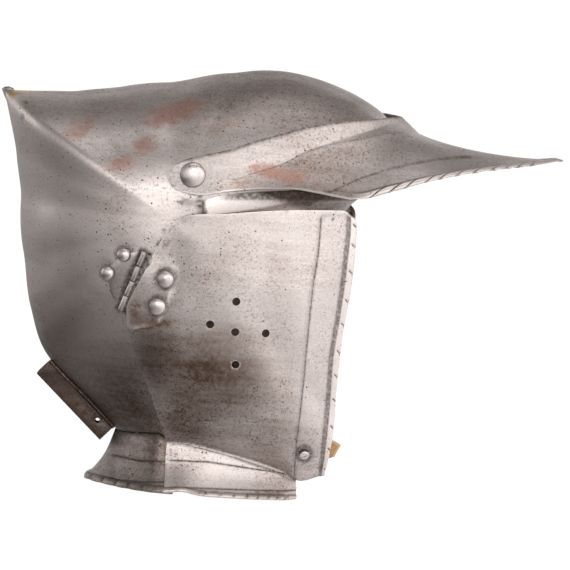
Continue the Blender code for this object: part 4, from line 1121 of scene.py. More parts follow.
def ease_ridge(points, row):
    """Rounds the side ridge, which runs along a row, away from the mid-plane."""
    near = slice(row - RIDGE_ROWS, row + RIDGE_ROWS + 1)
    fade = smoothstep((np.abs(points[near, :, 1:2]) - 3.0) / 14.0)
    for _ in range(10):
        patch = points[near]
        even = patch.copy()
        even[1:-1] = (patch[:-2] + 2.0 * patch[1:-1] + patch[2:]) / 4.0
        points[near] = patch + (even - patch) * fade


def collar_grid(neck, rows, extra=0.0, dents=None):
    """Rows of the flared collar below a line of neck points of the right-hand side."""
    flare = smooth_table(COLLAR_FLARE)
    profile = smooth_table(COLLAR_PROFILE)
    along = np.gradient(neck, axis=0)
    out = np.stack([along[:, 1], -along[:, 0], np.zeros(len(neck))], axis=-1)
    out /= np.linalg.norm(out, axis=1, keepdims=True)
    out = np.where(out[:, 1:2] > 0.0, -out, out)
    from_middle = smoothstep(np.abs(neck[:, 1]) / COLLAR_TURN)[:, None]
    out = out * from_middle + np.array((-1.0, 0.0, 0.0)) * (1.0 - from_middle)
    for _ in range(60):
        out[1:-1] = (out[:-2] + 2.0 * out[1:-1] + out[2:]) / 4.0
    out[:, 0] = np.minimum(out[:, 0], COLLAR_FORWARD)
    out /= np.linalg.norm(out, axis=1, keepdims=True)
    reach = flare(neck[:, 0]) + extra
    foot = neck + out * reach[:, None]
    floor = FLOOR_Z - math.tan(REST_TURN) * foot[:, 0]
    if dents is not None:
        floor = floor + dents(foot[:, 0])
    grid = []
    for share in np.linspace(0.0, 1.0, rows):
        row = neck + out * (reach * profile(share))[:, None]
        row[:, 2] += (floor - neck[:, 2]) * share
        grid.append(row)
    return np.array(grid)


def collar_edge(points, sizes, notches):
    """The turned lower edge of a collar: a low bead with slanted notches. Rows run down."""
    drop = np.linalg.norm(points - points[-1:], axis=-1)
    bead = rounded(drop, COLLAR_BEAD)
    x, _ = seen(points)
    cut = np.maximum.reduce([bell(x - notch - 0.5 * (drop - COLLAR_BEAD), 0.75) for notch in notches])
    cut = cut * (drop < 4.4)
    height = 0.55 * sizes.rope_height * bead - cut * bead * 0.5 * sizes.notch_depth
    return height, np.maximum(cut * np.clip(bead, 0.3, 1.0), 0.7 * bell(drop - 4.5, 0.55))


def worked_collar(collar, lines, notches, line_dirt, line_width):
    """A collar's grid with its worked lines and turned edge, its dirt, and how far down each row lies."""
    sizes = bpy.context.scene.burgonet_plates
    relief, dirt_and_shade = worked_lines(*seen(collar), lines)
    edge, cut = collar_edge(collar, sizes, notches)
    away = np.linspace(0.0, 1.0, len(collar))[:, None]
    relief = (relief + edge + hammered(collar, 0.6 * sizes.hammer_depth)) * smoothstep(away * 8.0)
    fold = line_dirt * bell(away, line_width) * np.ones(dirt_and_shade.shape)
    return collar + grid_normals(collar) * relief[..., None], np.maximum.reduce([dirt_and_shade, cut, fold]), away


def build_skull():
    sizes = bpy.context.scene.burgonet_plates
    step = sizes.grid_step
    points, neck_rows = skull_grid(step)
    x, z = seen(points)
    normal = grid_normals(points)
    angle, from_pole = around_pole(points[..., 0], points[..., 2])
    off_ridge = np.radians(angle - APEX_ANGLE) * from_pole
    ridge_fade = smoothstep((from_pole - 28.0) / 40.0)
    slot_along, slot_off = beside(x, z, HINGE_SEEN)
    slot = smoothstep((5.6 - np.abs(slot_off)) / 1.4)
    slot = slot * smoothstep((slot_along + 0.06) / 0.1) * smoothstep((1.1 - slot_along) / 0.1)
    to_rivets = from_spots(x, z, SKULL_RIVETS.values())
    height = hammered(points, sizes.hammer_depth) + 0.15 * bell(off_ridge, 4.0) * ridge_fade
    height += bell(x + 1.0, 5.0) * bell(z + 16.5, 3.0)
    height -= 0.6 * bell(to_rivets, 7.0)
    height *= np.clip(np.abs(points[..., 1]) / 4.0, 0.0, 1.0)
    to_apex = np.linalg.norm(points - (APEX_TIP[0], 0.0, APEX_TIP[1] - SIDE_REACH * VIEW_RISE), axis=-1)
    height += 1.6 * bell(to_apex, 4.5)
    normal[..., 1] = np.where(np.abs(points[..., 1]) < 0.01, 0.0, normal[..., 1])
    # Painted light on the bowl just behind the ridge, and painted highlights along the ridge and the
    # mid-line.
    below_ridge = 0.5 * smoothstep((off_ridge + 2.0) / 4.0) * smoothstep((32.0 - off_ridge) / 28.0)
    ridge_highlight = (0.25 * bell(off_ridge, 1.8) + below_ridge) * ridge_fade + 0.6 * bell(points[..., 1], 1.6)
    # Painted shade in the narrow gap just behind the brow band's rear end.
    brow_gap_shade = 0.9 * bell(x - 4.6, 1.4) * smoothstep((z + 31.0) / 2.0) * smoothstep((-13.0 - z) / 2.0)
    rivet_dirt = 0.7 * bell(to_rivets - 6.0, 1.2)
    masks = {
        "red": marks(x, z, RED_PATCHES),
        "rust": np.maximum(marks(x, z, RUST_SPOTS), 0.6 * slot),
        "brass": marks(x, z, BRASS_SPOTS),
        "pits": np.maximum(marks(x, z, APEX_PITS), marks(x, z, HINGE_PITS)),
        # Painted highlights along the ridge and the mid-line, and painted light over the temple and the
        # rear.
        "wear_and_sheen": np.maximum(ridge_highlight, marks(x, z, PAINTED_LIGHT_SKULL)),
        # Darker towards the crown, with painted shade over the lower rear and brown mottling on the crown.
        "stain_and_shade": np.maximum(0.2 * smoothstep((z - 20.0) / 50.0), marks(x, z, SKULL_STAINS_AND_SHADE)),
        # Painted shade in the brow gap and along the hinge's slot, which also has rust; dirt rings round the
        # rivets; the dark apex holes.
        "dirt_and_shade": np.maximum.reduce([brow_gap_shade, rivet_dirt, marks(x, z, APEX_HOLES), 0.95 * slot]),
    }
    bowl = plate("skull_plate", points + normal * height[..., None], masks)
    collar = collar_grid(points[-neck_rows:, -1], int(NECK_LENGTH / step) + 6)
    placed, dirt_and_shade, away = worked_collar(collar, NAPE_LINES, NAPE_NOTCHES, 0.8, 1.0 / 22.0)
    collar_masks = {key: np.zeros(dirt_and_shade.shape) for key in masks}
    collar_masks["dirt_and_shade"] = dirt_and_shade
    # Painted highlight along the nape collar's middle crease.
    collar_masks["wear_and_sheen"] = 0.8 * bell(collar[..., 1], 2.5)
    collar_masks["stain_and_shade"] = 0.72 - 0.15 * away * np.ones(dirt_and_shade.shape)
    collar_masks["pits"] = np.full(dirt_and_shade.shape, 0.5)
    skull = join([bowl, plate("nape_collar", placed, collar_masks)], "skull_shell")
    merge(skull, 0.00002)
    complete(skull)
    face_away(skull)
    thicken(skull, use_quality_normals=True)
    smooth(skull, 50.0)
    material = steel("skull_steel")
    dress(skull, material, "skull", "skull_steel", "skull")
    build_rear_point(material)


def build_rear_point(material):
    """The small blunt bulb brazed over the rear point."""
    deselect()
    bpy.ops.mesh.primitive_uv_sphere_add(segments=48, ring_count=32, radius=1.0)
    bulb = made("rear_point")
    for vertex in bulb.data.vertices:
        lump = 1.0 + 0.12 * noise.noise(vertex.co * 1.7)
        vertex.co = vertex.co * Vector(BULB_SIZE) * lump * MM
    tip = Vector((APEX_TIP[0] + 4.0, 0.0, APEX_TIP[1] - SIDE_REACH * VIEW_RISE - 1.0))
    bulb.data.transform(REST @ Matrix.Translation(tip * MM) @ Matrix.Rotation(math.radians(18.0), 4, "Y"))
    for key, amount in {"pits": 0.8, "brass": 0.35, "stain_and_shade": 0.35}.items():
        add_mask(bulb, key, lambda place: amount)
    smooth(bulb, 60.0)
    bulb.data.materials.append(material)
    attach(bulb, "skull")


def front_of_bowl(z, grow):
    """How far forward the grown bowl reaches at a height, found by halving."""
    near = np.full(z.shape, POLE[0])
    far = np.full(z.shape, POLE[0] + 2 * HALF_WIDTH)
    for _ in range(30):
        middle = (near + far) / 2
        inside = skull_width(middle, z, grow) > 0.0
        near = np.where(inside, middle, near)
        far = np.where(inside, far, middle)
    return near


def build_brow_band():
    sizes = bpy.context.scene.burgonet_plates
    columns = int(BROW_LENGTH / sizes.grid_step)
    upper_at = smooth_table(BROW_UPPER)
    ahead = np.sin(np.pi / 2 * np.linspace(0.0, 1.0, columns))[None, :]
    down = np.linspace(0.0, 1.0, BROW_ROWS)[:, None]
    grow = BROW_GROW + BROW_LEAN * ahead**2 * (1.0 - down)
    x = np.zeros((BROW_ROWS, columns))
    for _ in range(4):
        upper = upper_at(x)
        z = upper + (BROW_FOOT - upper) * down
        x = BROW_START + (front_of_bowl(z, grow) - BROW_START) * ahead
    width = skull_width(x, z, grow)
    width[:, -1] = 0.0
    points = np.stack([x, -width, z], axis=-1)
    sx, sz = seen(points)
    lift = hammered(points, 0.5 * sizes.hammer_depth, 5.0) * np.clip(width / 5.0, 0.0, 1.0)
    # Painted shadow of the peak along the band's top.
    peak_shadow = 0.85 * smoothstep((sz + 18.6) / 2.4) * smoothstep((sx - 14.0) / 16.0)
    shaded_from = sx + 2.5 * (sz + 14.7)
    # Painted shade at the band's rear end beside the gap, painted shadow of the peak along its top and over
    # its front part, painted light over its rear part, and rust spots.
    masks = {
        "dirt_and_shade": np.maximum(0.75 * bell(sx - BROW_START, 1.2), peak_shadow),
        "rust": marks(sx, sz, BROW_RUST),
        "stain_and_shade": 0.05 + 0.95 * smoothstep((shaded_from - 42.0) / 18.0),
        "wear_and_sheen": 0.7 * smoothstep((46.0 - shaded_from) / 20.0),
    }
    band = plate("brow_band_shell", points + grid_normals(points) * lift[..., None], masks)
    complete(band)
    face_away(band)
    thicken(band)
    smooth(band)
    dress(band, steel("brow_steel"), "skull", "skull_steel", "brow_band")


def peak_band_width(x, z):
    """Half-width of the peak's upright band over a point of the mid-plane."""
    share = (np.arctan2(z, x) - PEAK_UPPER_ANGLE) / (PEAK_FOLD_ANGLE - PEAK_UPPER_ANGLE)
    reach = PEAK_UPPER_REACH + (PEAK_FOLD_REACH - PEAK_UPPER_REACH) * np.clip(share, 0.0, 1.0)
    return PEAK_HALF_WIDTH * np.sqrt(np.maximum(0.0, 1.0 - (np.hypot(x, z) / reach) ** SECTION_POWER))


def band_points(t, up):
    """Points of the upright band, up 1 at its upper edge and 0 at the fold; it closes roundly in front."""

    def raised(at):
        x, z = (PEAK_UPPER[axis](at) * up + PEAK_FOLD[axis](at) * (1.0 - up) for axis in (0, 1))
        points = settle(x, z, peak_band_width)
        points[..., 1] *= 1.0 - PEAK_NARROWING * up * smoothstep((at - 9.5) / 4.5)
        return points

    points = raised(t)
    before = raised(np.full(np.shape(t), PEAK_LAST - 1.0))[..., 1]
    closing = before * np.sqrt(np.clip(PEAK_LAST - t, 0.0, 1.0))
    points[..., 1] = np.where(t > PEAK_LAST - 1.0, closing, points[..., 1])
    return points


def peak_surface(t, across):
    """A point of the peak: t the station from temple to mid-plane, across -1 upper edge, 0 fold, 1 rim."""
    band = band_points(t, np.clip(-across, 0.0, 1.0))
    crease = band_points(t, 0.0)
    rim_x, rim_z = (curve(t) for curve in PEAK_RIM)
    rim_y = PEAK_RIM_WIDTH(t)
    opened = np.stack([rim_x, -rim_y, rim_z - (SIDE_REACH - rim_y) * VIEW_RISE], axis=-1)
    hugging = settle(rim_x, rim_z, peak_band_width)
    share_open = smoothstep(t - 3.0)[..., None]
    rim = hugging * (1.0 - share_open) + opened * share_open
    s = np.clip(across, 0.0, 1.0)
    shade = crease * (1.0 - s[..., None]) + rim * s[..., None]
    shade[..., 2] -= PEAK_SAG * np.clip((t - 4.0) / 5.0, 0.0, 1.0) * 4.0 * s * (1.0 - s)
    return np.where((across < 0.0)[..., None], band, shade)


def peak_stations(step):
    """Stations of the peak's grid, closer together at the notches of its rope, and the notches' own."""
    fine = np.linspace(0.0, PEAK_LAST, 1200)
    rim_x = peak_surface(fine, np.ones(fine.shape))[:, 0]
    notch_at = [float(np.interp(x, rim_x[300:], fine[300:])) for x in PEAK_NOTCHES]
    steps = np.linalg.norm(np.diff(peak_surface(fine, np.full(fine.shape, 0.6)), axis=0), axis=1)
    arc = np.concatenate([[0.0], np.cumsum(steps)])
    even = np.interp(np.linspace(0.0, arc[-1], int(PEAK_LENGTH / step)), arc, fine)
    near = [n + s for n in notch_at for s in PEAK_NOTCH_SPREAD if n + s < PEAK_LAST]
    far = [e for e in even if all(abs(e - n) > 0.18 for n in notch_at)]
    stations = np.array(sorted(near + far))
    stations[0], stations[-1] = 0.0, PEAK_LAST
    return stations, notch_at


def build_peak():
    sizes = bpy.context.scene.burgonet_plates
    stations, notch_at = peak_stations(sizes.grid_step)
    t, s = np.meshgrid(stations, np.concatenate([np.linspace(*part) for part in PEAK_ROWS]))
    points = peak_surface(t, s)
    to_rim = np.linalg.norm(points - peak_surface(stations, np.ones(stations.shape))[None], axis=-1)
    x, z = seen(points)
    slanted = t - 0.085 * (to_rim - 2.5) * (to_rim < 6.5) * smoothstep(t - 8.0)
    roped = np.clip((t - 8.6) / 1.0, 0.0, 1.0)
    outer_half = s > 0.5
    bead = rounded(to_rim, PEAK_BEAD) * outer_half * roped
    cut = np.maximum.reduce([bell(slanted - notch, 0.038) for notch in notch_at])
    cut = cut * (to_rim < 2.1 * PEAK_BEAD) * outer_half
    border_fade = line_fade(x, PEAK_BORDER_LINE, 14.0) * (s > 0.1)
    inside_border = across_line(x, z, PEAK_BORDER_LINE, 1.4) * border_fade
    border_line = on_line(x, z, PEAK_BORDER_LINE, 0.9) * (s > 0.1)
    height = hammered(points, sizes.hammer_depth, 9.0)
    height += sizes.rope_height * bead - sizes.notch_depth * cut * (0.3 + 0.7 * bead)
    height -= sizes.border_depth * inside_border * (1.0 - smoothstep((5.2 - to_rim) / 1.2))
    height *= np.clip(np.abs(points[..., 1]) / 3.0, 0.0, 1.0)
    edge_dirt = bell(to_rim - 2.1 * PEAK_BEAD, 0.7) * outer_half * roped
    fold_line = bell(s, 0.022) * smoothstep(t - 3.5) * (1.0 - smoothstep((t - 11.0) / 2.0))
    # Painted shadow along the band's upper edge, where it meets the crown.
    upper_edge_shadow = bell(s + 1.0, 0.1) * smoothstep(t - 1.0) * (1.0 - smoothstep((t - 12.5) / 1.5))
    # Painted highlight along the peak's plain lower edge.
    rim_highlight = bell(to_rim, 0.9) * outer_half * (1.0 - roped) * smoothstep(t - 0.5)
    below_fold = smoothstep((s + 0.06) / 0.16) * smoothstep((t - 3.0) / 2.0)
    dirt_and_shade = [0.95 * cut, 0.85 * border_line, 0.9 * edge_dirt, 0.55 * fold_line, 0.9 * upper_edge_shadow]
    film = 0.06 + 0.34 * below_fold * (1.0 - 0.75 * smoothstep((t - 7.5) / 4.0))
    masks = {
        "red": marks(x, z, PEAK_RED_PATCHES) * (s > -0.3),
        "dirt_and_shade": np.maximum.reduce(dirt_and_shade),
        "wear_and_sheen": np.clip(0.95 * bead * (1.0 - cut) + 0.8 * rim_highlight, 0.0, 1.0),
        "stain_and_shade": np.maximum(film, 0.08 * smoothstep((t - 10.0) / 3.0)),
        "pits": 0.3 * smoothstep((s - 0.2) / 0.5),
        "rust": marks(x, z, PEAK_RUST),
    }
    peak = plate("peak_shell", points + grid_normals(points) * height[..., None], masks)
    if sum(face.normal.z * face.area for face in peak.data.polygons) < 0.0:
        peak.data.flip_normals()
    complete(peak)
    thicken(peak)
    smooth(peak, 45.0)
    dress(peak, steel("peak_steel"), "peak", "peak_steel", "peak")


def cheek_side_view(u, v):
    """Side-view points of the cheekpiece between its four edges."""
    tops, bottoms = curve_through(CHEEK_TOP, u), curve_through(CHEEK_NECK, u)
    lefts, rights = curve_through(CHEEK_REAR, v), curve_through(CHEEK_FRONT, v)
    a, b = u[None, :, None], v[:, None, None]
    upper = (1 - a) * (1 - b) * tops[0] + a * (1 - b) * tops[-1]
    lower = (1 - a) * b * bottoms[0] + a * b * bottoms[-1]
    edges = (1 - a) * lefts[:, None] + a * rights[:, None] + (1 - b) * tops[None] + b * bottoms[None]
    return edges - (upper + lower)


def lined_cheek(u_even, v):
    """The same, with two columns of the grid laid along the border's lines."""
    fine_u = np.linspace(0.0, 1.0, 240)
    base = cheek_side_view(fine_u, v)
    inner = line_x(base[..., 1], CHEEK_INNER_LINE)
    outer = line_x(base[..., 1], CHEEK_OUTER_LINE)
    grid = np.empty((len(v), len(u_even), 2))
    for row in range(len(v)):
        u1 = np.interp(0.0, base[row, :, 0] - inner[row], fine_u)
        u2 = np.interp(0.0, base[row, :, 0] - outer[row], fine_u)
        u2 = min(max(u2, u1 + 0.02), 0.985)
        warped = np.interp(u_even, [0.0, CHEEK_INNER_U, CHEEK_OUTER_U, 1.0], [0.0, u1, u2, 1.0])
        for axis in (0, 1):
            grid[row, :, axis] = np.interp(warped, fine_u, base[row, :, axis])
    return grid


def round_corner(side):
    """Rounds the cheekpiece's upper front corner in the side view."""
    p = np.clip(1.0 - (line_x(side[..., 1], CHEEK_FRONT) - side[..., 0]) / CORNER, 0.0, 1.0)
    q = np.clip(1.0 - (line_height(side[..., 0], CHEEK_TOP) - side[..., 1]) / CORNER, 0.0, 1.0)
    side[..., 0] -= CORNER * p * (1.0 - np.sqrt(1.0 - q * q / 2.0))
    side[..., 1] -= CORNER * q * (1.0 - np.sqrt(1.0 - p * p / 2.0))
    return side


def cheek_shares(step):
    """Columns and rows of the cheekpiece's grid, and the rows of its rope's notches."""
    field = np.linspace(0.0, 0.6, int(CHEEK_FIELD_LENGTH / step))
    u = np.concatenate([field, *(np.linspace(*part) for part in CHEEK_COLUMNS)])
    guess_v = np.linspace(0.0, 1.0, 800)
    front_z = curve_through(CHEEK_FRONT, guess_v)[:, 1]
    notch_v = [float(np.interp(-n, -front_z, guess_v)) for n in CHEEK_NOTCHES]
    return u, clustered(0.0, 1.0, step / CHEEK_LENGTH, notch_v, CHEEK_NOTCH_SPREAD), notch_v


def cheek_plate(step):
    """The cheekpiece's sheet, its masks' names, its last row of points and how far each is lifted."""
    sizes = bpy.context.scene.burgonet_plates
    u, v, notch_v = cheek_shares(step)
    side = round_corner(lined_cheek(u, v))
    points = settle(side[..., 0], side[..., 1], cheek_width)
    normal = grid_normals(points)
    x, z = seen(points)
    uu, vv = np.meshgrid(u, v)
    to_edge = np.linalg.norm(points - points[:, -1:], axis=-1)
    bead_radius = np.maximum(to_edge[:, int(np.argmin(np.abs(u - CHEEK_OUTER_U)))][:, None], 2.0) / 2.0
    ends = smoothstep(vv / 0.03) * smoothstep((1.0 - vv) / 0.02)
    bead = rounded(to_edge, bead_radius) * (uu > 0.8) * ends
    slanted = vv + 0.0035 * (to_edge - bead_radius)
    cut = np.maximum.reduce([bell(slanted - notch, 0.0024) for notch in notch_v])
    cut = cut * smoothstep((uu - 0.9) / 0.03) * ends
    below_top = smoothstep((vv - 0.012) / 0.015)
    border = smoothstep((uu - 0.612) / 0.016) * (1.0 - smoothstep((uu - 0.845) / 0.03)) * below_top
    inner_line = bell(uu - CHEEK_INNER_U, 0.007) * smoothstep((vv - 0.015) / 0.02)
    outer_line = smoothstep((uu - 0.835) / 0.016) * (0.8 + 0.2 * smoothstep((uu - 0.86) / 0.012))
    outer_line = outer_line * (1.0 - smoothstep((uu - 0.875) / 0.01)) * below_top
    to_bulge = from_outline(x, z, HINGE_BULGE)
    hinge_bulge = smoothstep(0.5 - to_bulge / 2.2) * smoothstep((-z - 54.0) / 18.0)
    # Painted highlight just inside the bulge's edge, over its lower part.
    bulge_highlight = bell(to_bulge + 1.2, 1.7) * smoothstep((-z - 66.0) / 20.0)
    # Rust and painted shadow just outside the bulge's lower edge.
    bulge_rust_and_shadow = 0.8 * bell(to_bulge - 0.9, 0.7) * smoothstep((-z - 80.0) / 12.0)
    to_rivets = [np.hypot(x - rx, z - rz) for rx, rz, _ in CHEEK_RIVETS.values()]
    to_chin = from_spots(x, z, (CHIN_RIVET,))
    height = hammered(points, sizes.hammer_depth, 3.0)
    height += 0.9 * sizes.rope_height * bead - sizes.notch_depth * cut * np.clip(bead, 0.4, 1.0)
    height -= sizes.border_depth * border + 0.25 * inner_line
    height += 1.5 * hinge_bulge - 0.9 * sum(bell(reach, 8.5) for reach in to_rivets)
    height -= 0.5 * bell(to_chin, 5.0)
    rivet_dirt = sum(bell(reach - 7.0, 1.3) for reach in to_rivets) + bell(to_chin - 5.2, 1.7)
    dirt_and_shade = [cut, 0.95 * inner_line, 0.9 * outer_line, 0.85 * rivet_dirt, bulge_rust_and_shadow]
    dirt_and_shade.append(bell(from_spots(x, z, (CORNER_NICK,)), 0.9))
    dirt_and_shade.append(0.8 * bell(from_spots(x, z, (CORNER_HOLE,)), 1.2))
    dirt_and_shade.append(0.35 * smoothstep((vv - 0.985) / 0.01))
    # Painted light from the marks, rubbed wear on the bead, and a painted highlight along the top edge.
    wear_and_sheen = marks(x, z, PAINTED_LIGHT_CHEEK) * (uu < 0.83) + 0.7 * bead * (1.0 - cut) + 0.6 * bell(vv, 0.006)
    # Painted highlights along the bulge's edge and along the upper rear edge by the barrel.
    wear_and_sheen = wear_and_sheen + bulge_highlight + bell(uu, 0.012) * smoothstep((z + 70.0) / 12.0)
    # Brown stains and painted shade.
    stain_and_shade = marks(x, z, CHEEK_STAINS_AND_SHADE)
    masks = {
        "stain_and_shade": stain_and_shade,
        "pits": np.maximum(marks(x, z, HINGE_PITS), 0.25 * stain_and_shade),
        "rust": marks(x, z, CHEEK_RUST),
        "dirt_and_shade": np.maximum.reduce(dirt_and_shade),
        "wear_and_sheen": np.clip(wear_and_sheen, 0.0, 1.0),
    }
    sheet = plate("cheek_plate", points + normal * height[..., None], masks)
    return sheet, list(masks), points[-1], normal[-1] * height[-1][:, None]


def throat_dent(x):
    """How far the throat collar's foot is pushed up at x."""
    return 2.2 * bell(x + 8.0, 9.0)


def build_cheeks():
    step = CHEEK_FINENESS * bpy.context.scene.burgonet_plates.grid_step
    body, keys, last_row, last_lift = cheek_plate(step)
    neck = last_row[last_row[:, 0] <= CHEEK_COLLAR_FRONT_X + 1.0]
    collar = collar_grid(neck, int(THROAT_LENGTH / step) + 8, THROAT_EXTRA, throat_dent)
    placed, dirt_and_shade, _ = worked_collar(collar, THROAT_LINES, THROAT_NOTCHES, 0.7, 1.0 / 24.0)
    placed[0] = neck + last_lift[: len(neck)]
    x, z = seen(collar)
    masks = {key: np.zeros(dirt_and_shade.shape) for key in keys}
    masks["dirt_and_shade"] = dirt_and_shade
    masks["wear_and_sheen"] = np.full(dirt_and_shade.shape, 0.12)
    masks["stain_and_shade"] = 0.1 + 0.25 * marks(x, z, THROAT_STAINS)
    masks["rust"] = marks(x, z, THROAT_RUST)
    cheek = join([body, plate("throat_collar", placed, masks)], "cheek_right_shell")
    merge(cheek, 0.00002)
    face_away(cheek)
    thicken(cheek)
    drill_breaths(cheek)
    smooth(cheek, 50.0)
    left = mirror(own_copy(cheek, "cheek_left_shell"))
    material = steel("cheek_steel")
    for side, obj in (("right", cheek), ("left", left)):
        dress(obj, material, f"cheek_{side}", "cheek_steel", f"cheek_{side}")


def outward(x, z, width_at):
    """Unit normal of the right-hand surface over a point of the mid-plane."""
    slope_x = (width_at(x + SLOPE_STEP, z) - width_at(x - SLOPE_STEP, z)) / (2 * SLOPE_STEP)
    slope_z = (width_at(x, z + SLOPE_STEP) - width_at(x, z - SLOPE_STEP)) / (2 * SLOPE_STEP)
    return Vector((-float(slope_x), -1.0, -float(slope_z))).normalized()


def seat(x, seen_z, width_at):
    """Point and outward normal of the right-hand surface that is seen at x, seen_z."""
    point = settle(np.array([x]), np.array([seen_z]), width_at)[0]
    return Vector(point), outward(point[0], point[2], width_at)


def row_matrix(point, normal):
    """A matrix in the row frame whose local Z runs along a helmet-frame normal at a helmet-frame point."""
    return REST @ Matrix.Translation(point * MM) @ normal.to_track_quat("Z", "X").to_matrix().to_4x4()


def drill_breaths(cheek):
    """Cuts the round breath holes."""
    drills = []
    for x, z in BREATH_HOLES:
        deselect()
        bpy.ops.mesh.primitive_cylinder_add(vertices=28, radius=BREATH_RADIUS * MM, depth=24 * MM)
        drills.append(made("breath_drill"))
        drills[-1].data.transform(row_matrix(*seat(x, z, cheek_width)))
    cut_away(cheek, join(drills, "breath_drill"))


def disc(name, radius, depth, below, vertices):
    """A cylinder on local Z, its top at a depth below the origin."""
    deselect()
    bpy.ops.mesh.primitive_cylinder_add(vertices=vertices, radius=radius * MM, depth=depth * MM)
    obj = made(name)
    obj.data.transform(Matrix.Translation((0.0, 0.0, -(below + 0.5 * depth) * MM)))
    return obj


def domed_rivet(name, radius, height, tail_radius, depth, seed, dent=0.06):
    """A beaten dome over a thin flange, its hammered tail inside, about the origin; local Z points out."""
    up, nothing = (0, 0, 1), {"action": "DESELECT"}
    deselect()
    bpy.ops.mesh.primitive_uv_sphere_add(segments=40, ring_count=24, radius=1.0)
    head = made(name)
    edit_mesh(
        head,
        lambda: bpy.ops.mesh.bisect(plane_co=(0, 0, 0), plane_no=up, clear_inner=True, use_fill=False),
        lambda: bpy.ops.mesh.select_all(**nothing),
    )
    for vertex in head.data.vertices:
        p = vertex.co
        lift = noise.noise((p.x * 1.6 + seed, p.y * 1.6, p.z * 1.6)) * dent
        fuller = 1.0 + 0.06 * math.sin(math.pi * min(math.hypot(p.x, p.y), 1.0))
        vertex.co = Vector((p.x * radius * fuller, p.y * radius * fuller, (p.z + lift) * height)) * MM
        vertex.co.z = max(vertex.co.z, 0.0)
    edit_mesh(
        head,
        lambda: bpy.ops.mesh.select_mode(type="EDGE"),
        lambda: bpy.ops.mesh.select_all(**nothing),
        bpy.ops.mesh.select_non_manifold,
        lambda: bpy.ops.mesh.extrude_region_move(TRANSFORM_OT_translate={"value": (0, 0, -FLANGE * MM)}),
        bpy.ops.mesh.fill,
        lambda: bpy.ops.mesh.select_all(action="SELECT"),
        lambda: bpy.ops.mesh.normals_make_consistent(inside=False),
    )
    tail = disc("tail", tail_radius, 1.2, depth, 24)
    apply_modifier(tail, "BEVEL", width=0.4 * MM, segments=2)
    rivet = join([head, tail, disc("shank", 0.4 * tail_radius, depth, 0.0, 16)], name)

    def lowness(place):
        return 1.0 - min(max(place.z / (0.45 * height * MM), 0.0), 1.0)

    # Painted shade round the base of the dome, and a painted highlight over its top.
    add_mask(rivet, "dirt_and_shade", lambda place: 0.95 * lowness(place) ** 1.2)
    add_mask(rivet, "wear_and_sheen", lambda place: 0.55 * (1.0 - lowness(place)))
    smooth(rivet, 50.0)
    return rivet


def set_rivet(rivet, name, point, normal, side):
    """A copy of a rivet in its place on one side of the helmet."""
    copy = own_copy(rivet, name)
    copy.data.transform(row_matrix(point, normal))
    return mirror(copy) if side == "left" else copy


# The surface that each part's rivets and hinge leaves sit on
SURFACES = {"skull": skull_width, "cheek": cheek_width}


def owner(part, side):
    """The body that a part's pieces ride on."""
    return "skull" if part == "skull" else f"{part}_{side}"


def build_rivets():
    material = steel("rivet_steel")
    for part, (table, height, tail) in RIVET_SETS.items():
        for k, (level, (x, z, radius)) in enumerate(table.items()):
            name = f"{part}_rivet_{level}"
            model = domed_rivet(name, radius, height, tail, RIVET_TAIL_DEPTH, 3.1 * k + 11.0)
            point, normal = seat(x, z, SURFACES[part])
            for side in SIDES:
                rivet = set_rivet(model, f"{name}_{side}_dome", point + normal * RIVET_SEAT, normal, side)
                dress(rivet, material, owner(part, side), "rivet_steel", f"{name}_{side}")
            bpy.data.objects.remove(model, do_unlink=True)
    pivot = domed_rivet("peak_pivot", *PEAK_PIVOT)
    for side in SIDES:
        centre = Vector((0.0, -PEAK_HALF_WIDTH - PIVOT_SEAT, 0.0))
        rivet = set_rivet(pivot, f"peak_pivot_{side}_dome", centre, Vector((0.0, -1.0, 0.0)), side)
        dress(rivet, material, "skull", "rivet_steel", f"peak_pivot_{side}")
    bpy.data.objects.remove(pivot, do_unlink=True)
    build_chin_rivets(material)


def build_chin_rivets(material):
    """Low heads with a worn slot; the right one is longer, because it holds the strap."""
    point, normal = seat(*CHIN_RIVET, cheek_width)
    for side, depth in CHIN_TAIL_DEPTHS.items():
        head = domed_rivet("chin_head", *CHIN_HEAD, depth, 6.3, 0.03)
        deselect()
        bpy.ops.mesh.primitive_cube_add(size=1.0, location=(0.0, 0.0, 2.0 * MM))
        slot = made("chin_slot")
        slot.data.transform(Matrix.Diagonal((*(size * MM for size in CHIN_SLOT), 1.0)))
        slot.data.transform(Matrix.Rotation(CHIN_SLOT_TURN, 4, "Z"))
        cut_away(head, slot)
        rivet = set_rivet(head, f"chin_rivet_{side}_head", point + normal * CHIN_SEAT, normal, side)
        bpy.data.objects.remove(head, do_unlink=True)
        dress(rivet, material, f"cheek_{side}", "rivet_steel", f"chin_rivet_{side}")


